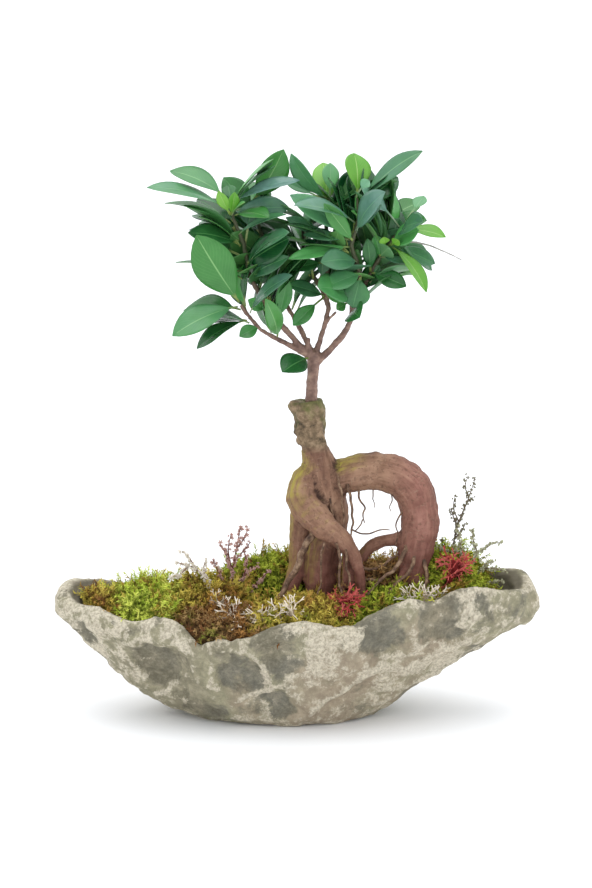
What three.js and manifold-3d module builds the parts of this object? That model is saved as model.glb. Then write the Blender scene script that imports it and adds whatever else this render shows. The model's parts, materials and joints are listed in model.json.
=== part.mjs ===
// A grafted fig bonsai with swollen, arching roots, planted in a long boat-shaped bowl of cast stone,
// among moss cushions, lichen tufts and dried sprigs.
// Millimetres, +Z up. The origin is on the underside of the bowl's flat foot, below the middle of its rim:
// +X runs along the bowl and +Y towards its back.
import * as THREE from "three";
import { LoftGeometry } from "three/addons/geometries/LoftGeometry.js";
import { mergeVertices } from "three/addons/utils/BufferGeometryUtils.js";
import Module from "manifold-3d";

const wasm = await Module();
wasm.setup();

// ---------------------------------------------------------------- driving dimensions

const GAP = 0.3; // air between pieces that touch

// The bowl: its rim's outer size, its foot, and its wall at the sides, at the two ends and in the floor.
const BOWL_LENGTH = 340;
const BOWL_WIDTH = 134;
const RIM_HEIGHT = 82;
const FOOT_LENGTH = 142;
const FOOT_WIDTH = 84;
const FOOT_OFFSET = -8; // the foot sits this far towards the left end
const FOOT_BEVEL = 3;
const SIDE_WALL = 11;
const END_WALL = 17;
const FLOOR = 11;
const DRAIN_DIAMETER = 12;
const DRAIN_X = -42;

// The soil: its level along the wall, the mound under the tree, and its rise towards the bowl's ends.
const SOIL_LEVEL = 58;
const MOUND_RISE = 22;
const MOUND_X = 48;
const MOUND_Y = 12;
const MOUND_LENGTH = 190;
const MOUND_WIDTH = 90;
const SOIL_END_RISE = 14;

// The tree: its height above the planting level, where it stands, and how thick its blades are.
const PLANTING_LEVEL = 84;
const TREE_HEIGHT = 317;
const TREE_X = 0;
const TREE_Y = 0;
const LEAF_THICKNESS = 0.9;
const LEAF_FULLNESS = 1.12; // over the widths in the rows below
const PETIOLE_WIDTH = 1.5;
const GRAFT_DEPTH = 14; // how far the grafted shoot is let into the cut stump

// ---------------------------------------------------------------- solids

/** The closed solid of a geometry: points merged, and faces that collapsed to a line dropped. */
function solid(geometry) {
  const bare = new THREE.BufferGeometry()
    .setAttribute("position", geometry.getAttribute("position"))
    .setIndex(geometry.index);
  const merged = mergeVertices(bare, 1e-3);
  const index = merged.index.array;
  const kept = [];
  for (let i = 0; i < index.length; i += 3) {
    const [a, b, c] = index.slice(i, i + 3);
    if (a !== b && b !== c && c !== a) kept.push(a, b, c);
  }
  const vertProperties = merged.attributes.position.array;
  return new wasm.Manifold(new wasm.Mesh({ numProp: 3, vertProperties, triVerts: new Uint32Array(kept) }));
}

/** A solid skinned over rings of points, closed at each end by a point. */
function skin(rings) {
  const ends = [rings[0], rings.at(-1)].map((ring) => {
    const middle = new THREE.Vector3();
    ring.forEach((p) => middle.addScaledVector(p, 1 / ring.length));
    return ring.map(() => middle.clone());
  });
  return solid(new LoftGeometry([ends[0], ...rings, ends[1]]));
}

/** A ring of points by angle, counterclockwise as seen from above. */
function ringOf(count, place) {
  return Array.from({ length: count }, (_, i) => place((i / count) * 2 * Math.PI, i));
}

/** A round limb along a curve, its radius running smoothly through the radii given at its points. */
function limb({ points, radii, sides = 9, stepsPerSpan = 2 }, grow = 0) {
  const curve = new THREE.CatmullRomCurve3(points, false, "centripetal");
  const steps = (points.length - 1) * stepsPerSpan;
  const frames = curve.computeFrenetFrames(steps);
  const rings = [];
  for (let i = 0; i <= steps; i++) {
    const along = (i / steps) * (radii.length - 1);
    const before = Math.min(Math.floor(along), radii.length - 2);
    const radius = THREE.MathUtils.lerp(radii[before], radii[before + 1], along - before) + grow;
    const centre = curve.getPoint(i / steps);
    if (i === 0) centre.addScaledVector(curve.getTangent(0), -grow);
    if (i === steps) centre.addScaledVector(curve.getTangent(1), grow);
    const { normals, binormals } = frames;
    rings.push(
      ringOf(sides, (a) =>
        centre
          .clone()
          .addScaledVector(normals[i], radius * Math.cos(a))
          .addScaledVector(binormals[i], radius * Math.sin(a)),
      ),
    );
  }
  return skin(rings);
}

const union = (solids) => solids.reduce((all, next) => all.add(next));
const without = (body, others) => others.reduce((left, next) => left.subtract(next), body);

/** The largest of the bodies that a cut leaves: crumbs thinner than the cut are cleared away. */
function largest(body) {
  return body.decompose().reduce((most, next) => (next.volume() > most.volume() ? next : most));
}

const group = new THREE.Group();

function addMesh(name, body, material) {
  const { numProp, numVert, vertProperties, triVerts } = body.getMesh();
  const positions = new Float32Array(numVert * 3);
  for (let i = 0; i < numVert; i++) {
    positions.set(vertProperties.subarray(i * numProp, i * numProp + 3), i * 3);
  }
  const geometry = new THREE.BufferGeometry()
    .setAttribute("position", new THREE.BufferAttribute(positions, 3))
    .setIndex(new THREE.BufferAttribute(triVerts, 1));
  geometry.computeVertexNormals();
  const mesh = new THREE.Mesh(geometry, material);
  mesh.name = name;
  group.add(mesh);
}

const matte = (color, roughness) => new THREE.MeshStandardMaterial({ color, roughness, metalness: 0 });
const STONE = matte(0xa39d8b, 0.9);
const SOIL = matte(0x3b2a1f, 1);
const ROOT_BARK = matte(0x9a7361, 0.8);
const SHOOT_BARK = matte(0x846a60, 0.75);
const MOSS_GREEN = matte(0x6f8c24, 1);
const MOSS_GOLD = matte(0x8d802d, 1);
const MOSS_BROWN = matte(0x684d3a, 1);
const LICHEN_WHITE = matte(0xd8d0bd, 0.95);
const LICHEN_RED = matte(0xa83e3e, 0.95);
const DRY_TWIG = matte(0x6b625a, 0.9);
const LEAVES = {
  mature: matte(0x2a6b3c, 0.35),
  light: matte(0x57a050, 0.35),
  young: matte(0x8fc04a, 0.4),
};

// ---------------------------------------------------------------- bowl

// The rim's outer edge, counterclockwise from the right end: shares of the half length and half width,
// and the height of its crest above RIM_HEIGHT in millimetres.
const RIM = [
  [1.0, 0.0, 11], [0.99, 0.16, 17], [0.93, 0.3, 18], [0.81, 0.45, 14], [0.63, 0.65, 6], [0.44, 0.82, 1],
  [0.22, 0.95, -3], [0.0, 1.0, 0], [-0.22, 0.97, -5], [-0.44, 0.85, -7], [-0.64, 0.66, 0], [-0.82, 0.44, 6],
  [-0.94, 0.25, 9], [-0.99, 0.12, 8], [-1.0, 0.0, 5], [-0.985, -0.13, 1], [-0.93, -0.26, 0],
  [-0.86, -0.375, 0], [-0.77, -0.5, -5], [-0.69, -0.595, -7], [-0.6, -0.69, -1], [-0.52, -0.77, -4],
  [-0.465, -0.82, -11], [-0.425, -0.85, -19], [-0.375, -0.88, -15], [-0.32, -0.91, -12.5],
  [-0.265, -0.935, -14.5], [-0.16, -0.975, -7.5], [-0.06, -0.995, -1], [0.03, -1.0, 0],
  [0.13, -0.99, -3], [0.235, -0.96, -3.5], [0.32, -0.91, 5], [0.4, -0.855, 10], [0.495, -0.775, 13],
  [0.6, -0.67, 10], [0.7, -0.56, 16], [0.79, -0.45, 15], [0.87, -0.35, 11], [0.94, -0.24, 10],
  [0.985, -0.12, 9],
];
const RIM_SAMPLES = 96;
// The wall flares up to this share of its height, at the left and the right end, and stands upright above it.
const LIP_LEFT = 0.9;
const LIP_RIGHT = 0.8;

// Hollows pressed into the wall, like chipped faces of a rock: which side, the place along the bowl as a
// share of the half length, the height as a share of RIM_HEIGHT, half width and half height, and depth.
const HOLLOWS = [
  ["front", -0.54, 0.5, 24, 20, 5], ["front", -0.23, 0.52, 17, 18, 4], ["front", -0.08, 0.72, 12, 9, 3],
  ["front", -0.09, 0.3, 10, 7, 3], ["front", 0.21, 0.32, 30, 14, 4.5], ["front", 0.35, 0.78, 14, 18, 4],
  ["front", 0.58, 0.82, 17, 9, 3.5], ["back", 0.5, 0.6, 24, 18, 5], ["back", 0.2, 0.45, 20, 20, 4],
  ["back", -0.05, 0.7, 22, 13, 4], ["back", -0.3, 0.4, 24, 15, 4.5], ["back", -0.6, 0.65, 22, 15, 4.5],
];

const halfLength = BOWL_LENGTH / 2;
const halfWidth = BOWL_WIDTH / 2;
const rimCurve = new THREE.CatmullRomCurve3(
  RIM.map(([x, y, rise]) => new THREE.Vector3(x * halfLength, y * halfWidth, RIM_HEIGHT + rise)),
  true,
);
const rim = rimCurve.getSpacedPoints(RIM_SAMPLES).slice(0, RIM_SAMPLES);

/** How far the hollows press the wall in at a point of the outside. */
function hollowDepth(p) {
  const side = p.y < 0 ? "front" : "back";
  return HOLLOWS.filter(([where]) => where === side).reduce((most, [, x, z, halfX, halfZ, depth]) => {
    const away = Math.hypot((p.x - x * halfLength) / halfX, (p.z - z * RIM_HEIGHT) / halfZ);
    return Math.max(most, depth * Math.max(0, 1 - away ** 3));
  }, 0);
}

/** The bowl's section at a share of its height, set in from the outside at its sides and ends. */
function bowlRing(share, inSide, inEnd, { rise = 0, hollows = false } = {}) {
  return rim.map((edge) => {
    const angle = Math.atan2(edge.y / halfWidth, edge.x / halfLength);
    const footX = FOOT_OFFSET + (FOOT_LENGTH / 2 - inEnd) * Math.cos(angle);
    const footY = (FOOT_WIDTH / 2 - inSide) * Math.sin(angle);
    // the left end bellies out and the right end runs straight
    const lip = THREE.MathUtils.lerp(LIP_LEFT, LIP_RIGHT, (1 + Math.cos(angle)) / 2);
    const flare = Math.min(1, share / lip) ** (0.83 + 0.2 * Math.cos(angle));
    const p = new THREE.Vector3(
      THREE.MathUtils.lerp(footX, edge.x * (1 - inEnd / halfLength), flare),
      THREE.MathUtils.lerp(footY, edge.y * (1 - inSide / halfWidth), flare),
      edge.z * share + rise,
    );
    if (hollows) p.y -= Math.sign(p.y) * hollowDepth(p);
    return p;
  });
}

const setZ = (ring, z) => ring.map((p) => new THREE.Vector3(p.x, p.y, z));
const OUTER_SHARES = [0.06, 0.14, 0.24, 0.35, 0.46, 0.57, 0.68, LIP_RIGHT, LIP_LEFT];
const INNER_SHARES = [0.88, 0.66, 0.44, 0.26];

/** The bowl's inside, from its floor to its lip and straight up from there, smaller all round by a gap. */
function cavity(gap, top) {
  const [side, end] = [SIDE_WALL + gap, END_WALL + gap];
  const lip = bowlRing(0.97, side, end);
  return skin([
    setZ(bowlRing(FLOOR / RIM_HEIGHT, side, end), FLOOR + gap),
    ...INNER_SHARES.map((share) => bowlRing(share, side, end)).reverse(),
    lip,
    setZ(lip, top),
  ]);
}

const ABOVE_ALL = RIM_HEIGHT + 110; // higher than anything planted in the soil but the tree
const bowlOutside = skin([
  setZ(bowlRing(0, FOOT_BEVEL, FOOT_BEVEL), 0),
  setZ(bowlRing(0, 0, 0), FOOT_BEVEL),
  ...OUTER_SHARES.map((share) => bowlRing(share, 0, 0, { hollows: true })),
  bowlRing(0.97, SIDE_WALL * 0.12, END_WALL * 0.12),
  bowlRing(1, SIDE_WALL * 0.5, END_WALL * 0.5),
]);
const bowlInside = skin([
  setZ(bowlRing(FLOOR / RIM_HEIGHT, SIDE_WALL, END_WALL), FLOOR),
  ...INNER_SHARES.map((share) => bowlRing(share, SIDE_WALL, END_WALL)).reverse(),
  bowlRing(0.97, SIDE_WALL * 0.9, END_WALL * 0.9),
  bowlRing(1, SIDE_WALL * 0.5, END_WALL * 0.5),
  setZ(bowlRing(1, SIDE_WALL * 0.5, END_WALL * 0.5), ABOVE_ALL),
]);
const drain = solid(
  new THREE.CylinderGeometry(DRAIN_DIAMETER / 2, DRAIN_DIAMETER / 2, 4 * FLOOR, 20)
    .rotateX(Math.PI / 2)
    .translate(DRAIN_X, 0, 0),
);
addMesh("stone_bowl", without(bowlOutside, [bowlInside, drain]), STONE);

// ---------------------------------------------------------------- soil level

/** The soil's surface: level along the walls, mounded under the tree, rising a little to the ends. */
function soilTop(x, y) {
  const alongMound = (x - MOUND_X) / (MOUND_LENGTH / 2);
  const acrossMound = (y - MOUND_Y) / (MOUND_WIDTH / 2);
  const mound = MOUND_RISE * Math.exp(-(alongMound ** 2 + acrossMound ** 2));
  return SOIL_LEVEL + mound + SOIL_END_RISE * (x / halfLength) ** 2;
}

/** Everything above the soil's surface, from a gap over it. */
function aboveSoil(gap) {
  const spread = (share) =>
    ringOf(28, (a) => {
      const [x, y] = [share * halfLength * 1.1 * Math.cos(a), share * halfWidth * 1.2 * Math.sin(a)];
      return new THREE.Vector3(x, y, soilTop(x, y) + gap);
    });
  return skin([...[0.08, 0.25, 0.5, 0.75, 1].map(spread), setZ(spread(1), ABOVE_ALL + 10)]);
}

// ---------------------------------------------------------------- tree

// Tree points are millimetres from the planting point, drawn for a tree this high and scaled to TREE_HEIGHT.
const DRAWN_HEIGHT = 317;
const treeScale = TREE_HEIGHT / DRAWN_HEIGHT;
const onTree = ([x, y, z]) =>
  new THREE.Vector3(x, y, z)
    .multiplyScalar(treeScale)
    .add(new THREE.Vector3(TREE_X, TREE_Y, PLANTING_LEVEL));

/** A limb of the tree from rows of x, y, z and radius. */
function treeLimb(rows, options = {}) {
  const points = rows.map(([x, y, z]) => onTree([x, y, z]));
  const radii = rows.map((row) => row[3] * treeScale);
  return { points, radii, ...options };
}

// The grafted stump and the swollen roots that lift it out of the soil.
const ROOTSTOCK = [
  // the cut stump that the shoots were grafted on
  treeLimb([[13, 0, 108, 9.4], [11, 0, 120, 9.8], [8.5, 0, 131, 10.6], [7.5, 0, 142, 11.2]], { sides: 14 }),
  // the knob of the graft, low on its left
  treeLimb([[9, -1, 115, 4.5], [4, -2, 114, 4], [1.5, -2, 112.5, 2]], { sides: 8 }),
  // trunk, into the thick middle root
  treeLimb(
    [
      [12, 0, 116, 8.6], [13, 0, 107, 9.8], [16, 1, 97, 12.5], [18, 3, 84, 15.5], [20.5, 4, 70, 15.8],
      [22, 4, 55, 15.4], [21, 3, 41, 14], [18, 1, 27, 12.6], [17, -1, 12, 11.5], [17, -1, -3, 9.5],
      [16, 0, -20, 5],
    ],
    { sides: 14 },
  ),
  // the root that crosses in front, from the left shoulder down to the right
  treeLimb(
    [
      [15, 1, 96, 7.5], [8, -2, 87, 10], [4, -8, 74, 11.5], [13, -14, 62, 11.4], [23, -19, 54, 9],
      [32, -21.5, 47, 7], [39, -22, 38.5, 5.4], [43.5, -21, 28, 4.2], [45.5, -20, 16, 3.6],
      [46.5, -19, 3, 3.2], [47.5, -18, -14, 2.2],
    ],
    { sides: 12 },
  ),
  // the left leg, behind it
  treeLimb([
    [8, 1, 78, 9], [4, 3, 58, 8.6], [3, 3, 40, 8], [1, 1, 22, 6.8], [-5, -2, 6, 5], [-12, -5, -8, 3.4],
  ]),
  // the arch: out of the right shoulder, over, and down to its own foot
  treeLimb(
    [
      [22, 2, 85, 11], [39, 4, 89, 12.6], [56, 4, 91, 13.6], [72, 2, 87, 14.4], [82.5, 0, 77, 14.4],
      [87, -2, 62, 13.9], [86.5, -4, 47, 13], [84, -5, 32, 12], [82, -6, 17, 10.6], [80, -7, 2, 8],
      [78, -8, -14, 4.5],
    ],
    { sides: 14 },
  ),
  // the branch from the arch's foot back towards the trunk
  treeLimb([
    [84, -4, 38, 8], [73, -2, 43, 5.8], [62, 0, 41, 5], [52, 0, 36, 4.6], [45, -1, 27, 4.6],
    [40, -2, 14, 4.4], [37, -3, 0, 4], [36, -4, -12, 2.6],
  ]),
  // thin roots, left to right
  treeLimb(
    [[13, -13, 43, 4], [4, -17, 29, 3.4], [-4, -20, 14, 3.2], [-11, -23, 0, 3], [-15, -25, -14, 2]],
    { sides: 7 },
  ),
  treeLimb([[25, -14, 38, 3], [27, -15, 20, 2.3], [24, -17, 5, 2.1], [22, -18, -12, 1.6]], { sides: 6 }),
  treeLimb(
    [[34, -16, 46, 3], [34.5, -15, 30, 2.5], [34, -15, 14, 2.1], [31, -16, 0, 1.9], [30, -17, -12, 1.4]],
    { sides: 6 },
  ),
  treeLimb(
    [[30, -8, 50, 6], [36, -11, 36, 4.6], [39, -13, 20, 3.8], [40, -14, 4, 3.2], [41, -15, -12, 2]],
    { sides: 7 },
  ),
  treeLimb(
    [[80, -12, 29, 3], [73, -17, 18, 2.2], [63, -21, 6, 2], [54, -24, -5, 1.8], [48, -26, -16, 1.4]],
    { sides: 6 },
  ),
  treeLimb([[91, -7, 26, 3], [93.5, -11, 13, 2.1], [91, -14, 1, 1.9], [86, -17, -12, 1.4]], { sides: 6 }),
  treeLimb([[20, 12, 40, 6], [26, 19, 22, 4.6], [34, 25, 6, 3.8], [40, 29, -12, 2.4]], { sides: 8 }),
  treeLimb([[8, 8, 36, 5], [0, 16, 20, 4], [-8, 22, 5, 3.4], [-14, 27, -12, 2.2]], { sides: 8 }),
];

// The grafted shoot's stem, and the twigs that it divides into: x, y, z and radius.
const STEM = [
  [10, -2, 142 - GRAFT_DEPTH, 4.1], [10.6, -2, 142, 4.3], [11.3, -1, 156, 4.1], [12.3, 0, 170, 4.4],
  [12.5, 0, 177, 3.8],
];
const TWIGS = {
  leftLow: [
    [12, 0, 172, 2.6], [-3, -3, 181, 2], [-14, -5, 187, 1.8], [-24, -7, 193, 1.6], [-32, -8, 202, 1.5],
    [-38, -9, 211, 1.3],
  ],
  leftTop: [
    [11, 0, 174, 2.8], [1, -1, 183, 2.3], [-11, -1, 197, 2.1], [-22, -2, 211, 1.9], [-32, -2, 230, 1.8],
    [-36, -2, 252, 1.6], [-43, -2, 270, 1.4], [-46.5, -2, 284, 1.2],
  ],
  leftBack: [
    [12, 1, 174, 2.5], [4, 6, 190, 2], [-7, 13, 208, 1.8], [-13, 18, 232, 1.6], [-24, 22, 256, 1.4],
    [-31, 20, 278, 1.2],
  ],
  centreBack: [
    [22.7, 3, 207, 1.8], [18, 9, 219, 1.7], [10, 15, 231, 1.6], [5, 19, 247, 1.4], [5, 22, 264, 1.2],
  ],
  middle: [
    [13, 0, 172, 2.6], [16, 1, 182, 2.1], [20, 2, 195, 1.9], [22.7, 3, 207, 1.8], [20, 5, 222, 1.7],
    [24, 7, 243, 1.5], [21, 8, 263, 1.4], [24, 8, 280, 1.2],
  ],
  right: [
    [13, 0, 168, 3.2], [23.5, 0, 178, 2.6], [32.5, 1, 188, 2.4], [38.5, 1, 199, 2.2], [39, -2, 213, 2],
    [44, -5, 232, 1.8], [38, -7, 252, 1.6], [43, -8, 270, 1.4], [42, -6, 285, 1.2],
  ],
  rightEnd: [
    [38.5, 1, 199, 2], [45, 4, 217, 1.8], [52, 4, 232, 1.6], [60, 3, 246, 1.5], [67, 1, 256, 1.3],
    [73, 0, 262, 1.1],
  ],
  rightBack: [
    [39, 1, 201, 1.9], [45, 11, 221, 1.7], [51, 21, 238, 1.5], [57, 28, 254, 1.4], [62, 30, 266, 1.2],
  ],
};
const STUBS = [
  // a cut stub over the fork, and a dead spur on the middle twig
  [[11, -1, 174, 2.6], [8, -3, 182, 2.1], [8.6, -3, 187, 1.9]],
  [[20.5, 2, 196, 1.4], [24, 0, 201, 1.1], [28, -1, 205, 0.9]],
];
const twigs = Object.fromEntries(
  Object.entries(TWIGS).map(([name, rows]) => [name, treeLimb(rows, { sides: 7, stepsPerSpan: 1 })]),
);
const shoot = (grow) =>
  union([
    limb(treeLimb(STEM, { sides: 12, stepsPerSpan: 1 }), grow),
    ...Object.values(twigs).map((twig) => limb(twig, grow)),
    ...STUBS.map((rows) => limb(treeLimb(rows, { sides: 6, stepsPerSpan: 1 }), grow)),
  ]);
const roots = (grow) => union(ROOTSTOCK.map((root) => limb(root, grow)));

const graftPocket = limb(treeLimb(STEM, { sides: 12, stepsPerSpan: 1 }), GAP);
addMesh("rootstock", largest(roots(0).subtract(graftPocket)), ROOT_BARK);
addMesh("grafted_shoot", shoot(0), SHOOT_BARK);

// ---------------------------------------------------------------- leaves

// Each leaf: its twig, how far along it stands, where its tip is, how wide it is, which way its upper side
// faces, and its tone. Tips are tree points like the others.
const LEAF_ROWS = [
  ["leftLow", 1.0, [-83, -24, 192], 21, [0, -0.7, 1], "light"],
  ["leftLow", 0.95, [-77, 12, 203], 20, [0, -0.6, 1], "mature"],
  ["leftLow", 0.8, [-67, -12, 181], 16, [-0.3, -0.4, 1], "mature"],
  ["leftLow", 1.0, [-67, -17, 259], 26, [-0.2, -1, 0.2], "light"],
  ["leftTop", 0.55, [-82, 8, 237], 16, [0, 0, 1], "mature"],
  ["leftTop", 0.72, [-73, -8, 260], 19, [0, -0.6, 1], "mature"],
  ["leftTop", 0.84, [-89, 1, 279], 16, [0.1, -0.2, 1], "mature"],
  ["leftTop", 0.93, [-100, -12, 291], 17, [0.2, -0.3, 1], "light"],
  ["leftTop", 1.0, [-86, 12, 300], 20, [0.2, -0.5, 1], "light"],
  ["leftBack", 1.0, [-9.5, 14, 315], 20, [0.5, -1, 0.1], "light"],
  ["leftTop", 0.96, [1, -12, 296], 15, [-0.3, -0.4, 1], "mature"],
  ["leftBack", 0.93, [-50, 28, 294], 17, [0, -1, 0.6], "mature"],
  ["leftTop", 0.88, [-19, -26, 273], 15, [0, -0.5, 1], "light"],
  ["leftTop", 0.64, [-5, -24, 262], 18, [0, -0.6, 1], "mature"],
  ["leftLow", 0.86, [-3, -36, 234], 18, [-0.3, -0.7, 1], "mature"],
  ["leftLow", 0.4, [-21, -42, 220], 12, [0.3, -1, 0.1], "light"],
  ["stem", 0.85, [-9, -21, 166], 18, [-0.3, -1, 0.5], "mature"],
  ["centreBack", 0.55, [-6, 44, 262], 19, [0, 0.4, 1], "mature"],
  ["leftBack", 0.6, [-62, 48, 252], 20, [0, 0.3, 1], "mature"],
  ["leftBack", 0.85, [-30, 66, 286], 19, [0, 0.2, 1], "mature"],
  ["middle", 1.0, [-2, -2, 314], 15, [-0.8, -0.6, 0.3], "mature"],
  ["middle", 0.97, [19, 36, 303], 16, [0, -1, 0.6], "young"],
  ["right", 1.0, [40, 14, 312], 18, [0.4, -1, 0], "young"],
  ["right", 0.97, [85, -16, 316], 16, [-0.5, -0.6, 0.8], "light"],
  ["right", 0.86, [0, -28, 281], 18, [0, -0.5, 1], "light"],
  ["right", 0.82, [60, -36, 291], 19, [0.1, -0.9, 0.9], "mature"],
  ["rightBack", 1.0, [61, 10, 293], 15, [0.9, -0.8, 0.1], "light"],
  ["rightBack", 0.96, [87, 42, 275], 16, [0, -0.5, 1], "light"],
  ["rightBack", 0.86, [90, 13, 266], 18, [-0.2, -0.8, 1], "mature"],
  ["rightEnd", 0.9, [86, -26, 270], 18, [-0.3, -0.9, 1], "mature"],
  ["rightEnd", 1.0, [102, -4, 257], 13, [0, -0.5, 1], "young"],
  ["rightEnd", 0.8, [93, 8, 233], 17, [-0.2, -0.6, 1], "mature"],
  ["rightEnd", 0.72, [88, -19, 222], 14, [0.7, -0.6, 0.6], "young"],
  ["right", 0.52, [15, -30, 226], 22, [0, -1, 0.8], "mature"],
  ["right", 0.45, [44, -27, 205], 16, [0, -1, 0.1], "mature"],
  ["rightBack", 0.62, [58, 70, 262], 19, [0, 0.3, 1], "mature"],
];
const BLADE_START = 0.13; // the petiole's share of the length
const LEAF_STATIONS = [0, 0.1, 0.17, 0.3, 0.45, 0.6, 0.75, 0.88, 0.97];
const DROOP = 0.09; // how far the blade bows, as a share of its length

/** Half the leaf's width at a share of its length: a thin petiole, then a blade widest past its middle. */
function leafHalfWidth(share, width) {
  if (share <= BLADE_START) return PETIOLE_WIDTH / 2;
  const along = (share - BLADE_START) / (1 - BLADE_START);
  return Math.max(PETIOLE_WIDTH / 2, (width / 2) * Math.sin(Math.PI * along ** 1.15) ** 0.75);
}

function leaf(base, tip, width, facing) {
  const axis = tip.clone().sub(base);
  const length = axis.length();
  axis.normalize();
  const up = new THREE.Vector3(...facing);
  up.addScaledVector(axis, -axis.dot(up)).normalize();
  const across = new THREE.Vector3().crossVectors(axis, up);
  const half = LEAF_THICKNESS / 2;
  return skin(
    LEAF_STATIONS.map((share) => {
      const bow = 4 * DROOP * length * share * (1 - share);
      const middle = base.clone().addScaledVector(axis, share * length).addScaledVector(up, bow);
      const wide = leafHalfWidth(share, width) * Math.min(1, (1 - share) / 0.1);
      const corner = (w, h) => middle.clone().addScaledVector(across, w).addScaledVector(up, h);
      return [corner(wide, 0), corner(0, -half), corner(-wide, 0), corner(0, half)];
    }),
  );
}

const stem = treeLimb(STEM);
LEAF_ROWS.forEach(([twigName, along, tip, width, facing, tone], i) => {
  const twig = twigName === "stem" ? stem : twigs[twigName];
  const curve = new THREE.CatmullRomCurve3(twig.points, false, "centripetal");
  const heart = curve.getPoint(along);
  const end = onTree(tip);
  const radius = twig.radii[Math.floor(along * (twig.radii.length - 1))];
  const outward = end.clone().sub(heart);
  const tangent = curve.getTangent(along);
  if (along < 1) outward.addScaledVector(tangent, -outward.dot(tangent));
  const base = heart.addScaledVector(outward.normalize(), radius + GAP + PETIOLE_WIDTH / 2);
  const name = `leaf_${String(i + 1).padStart(2, "0")}`;
  addMesh(name, leaf(base, end, width * LEAF_FULLNESS * treeScale, facing), LEAVES[tone]);
});

// ---------------------------------------------------------------- dried sprigs and lichen

// Places over the bowl are shares of its half length and half width.
const overBowl = (x, y, z) => new THREE.Vector3(x * halfLength, y * halfWidth, z);
const ARCH_FOOT = (TREE_X + 82 * treeScale) / halfLength; // where the arched root comes down

/** A forking sprig: a stem and side stems, as rows of limb points from its planting place, in millimetres. */
function sprig({ x, y, stems }, grow) {
  const foot = overBowl(x, y, soilTop(x * halfLength, y * halfWidth));
  return union(
    stems.map((rows) => {
      const points = rows.map(([dx, dy, dz]) => new THREE.Vector3(dx, dy, dz).add(foot));
      return limb({ points, radii: rows.map((row) => row[3]), sides: 6, stepsPerSpan: 1 }, grow);
    }),
  );
}

const SPRIGS = {
  sprig_right_tall: {
    x: ARCH_FOOT + 0.183, y: 0.24,
    stems: [
      [[0, 0, 2, 1.2], [-1, 0, 36, 1.1], [3, -2, 58, 1], [9, -3, 74, 0.9], [14, -3, 90, 0.7]],
      [[2, -2, 54, 0.9], [-1, -3, 62, 0.8], [-3, -4, 68, 0.7]],
      [[1, -1, 46, 0.9], [5, -4, 52, 0.8], [7, -6, 57, 0.7]],
      [[8, -3, 73, 0.8], [13, -2, 76, 0.7]],
    ],
  },
  sprig_right_low: {
    x: ARCH_FOOT + 0.278, y: 0.06,
    stems: [
      [[0, 0, 0, 1.1], [-3, 1, 20, 1], [-9, 2, 34, 0.9], [-17, 2, 44, 0.7]],
      [[-2, 1, 16, 0.9], [4, 0, 28, 0.8], [11, -1, 34, 0.7]],
      [[-6, 2, 28, 0.9], [0, 3, 38, 0.8], [6, 3, 42, 0.7]],
    ],
  },
  sprig_left: {
    x: -0.27, y: 0.12,
    stems: [
      [[0, 0, 4, 1.2], [1, -2, 34, 1], [4, -4, 52, 0.9], [7, -5, 68, 0.7]],
      [[1, -2, 36, 0.9], [-4, -4, 48, 0.8], [-8, -5, 56, 0.7]],
      [[2, -3, 42, 0.9], [9, -3, 50, 0.8], [14, -2, 56, 0.7]],
    ],
  },
  twig_left: {
    x: -0.33, y: -0.05,
    stems: [[[0, 0, 10, 1.3], [-6, 0, 30, 1.2], [-15, 1, 40, 1.1], [-27, 2, 44, 0.9]]],
  },
};
/** A lichen tuft: short stalks that lean out of one foot, each forked at its end like a stag's antler. */
function tuft({ x, y, sink = 6, height, lean = [0, 0], stalks }, grow) {
  const foot = overBowl(x, y, groundAt(x, y) - sink);
  const top = height + sink;
  const ground = foot.clone().setZ(foot.z + sink);
  const arms = [limb({ points: [foot, ground], radii: [2.4, 3], sides: 7, stepsPerSpan: 1 }, grow)];
  for (let i = 0; i < stalks; i++) {
    const turn = (i / stalks) * 2 * Math.PI + x * 9;
    const out = (share) => [
      (Math.cos(turn) * 4.5 + lean[0]) * share,
      (Math.sin(turn) * 4 + lean[1]) * share,
    ];
    const tall = top * (i % 2 ? 0.82 : 1);
    const at = (share, sideways = 0) => {
      const [dx, dy] = out(share);
      const [aside, across] = [sideways * Math.sin(turn), sideways * Math.cos(turn)];
      return foot.clone().add(new THREE.Vector3(dx + aside, dy - across, tall * share));
    };
    const stalk = { points: [at(0.2), at(0.65), at(1)], radii: [1.6, 1.4, 0.9], sides: 6, stepsPerSpan: 1 };
    const fork = { points: [at(0.6), at(0.95, 4)], radii: [1.3, 0.8], sides: 6, stepsPerSpan: 1 };
    arms.push(limb(stalk, grow), limb(fork, grow));
  }
  return union(arms);
}

const TUFTS = {
  lichen_white_front: [{ x: -0.02, y: -0.66, height: 12, stalks: 4 }, LICHEN_WHITE],
  lichen_white_left: [{ x: -0.27, y: -0.52, height: 13, lean: [2, 4], stalks: 5 }, LICHEN_WHITE],
  lichen_white_right: [{ x: 0.5, y: -0.52, height: 9, lean: [6, 3], stalks: 4 }, LICHEN_WHITE],
  lichen_red_front: [{ x: 0.21, y: -0.6, height: 12, stalks: 5 }, LICHEN_RED],
  lichen_red_right: [{ x: ARCH_FOOT + 0.118, y: -0.2, height: 12, stalks: 5 }, LICHEN_RED],
};

// ---------------------------------------------------------------- moss

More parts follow.
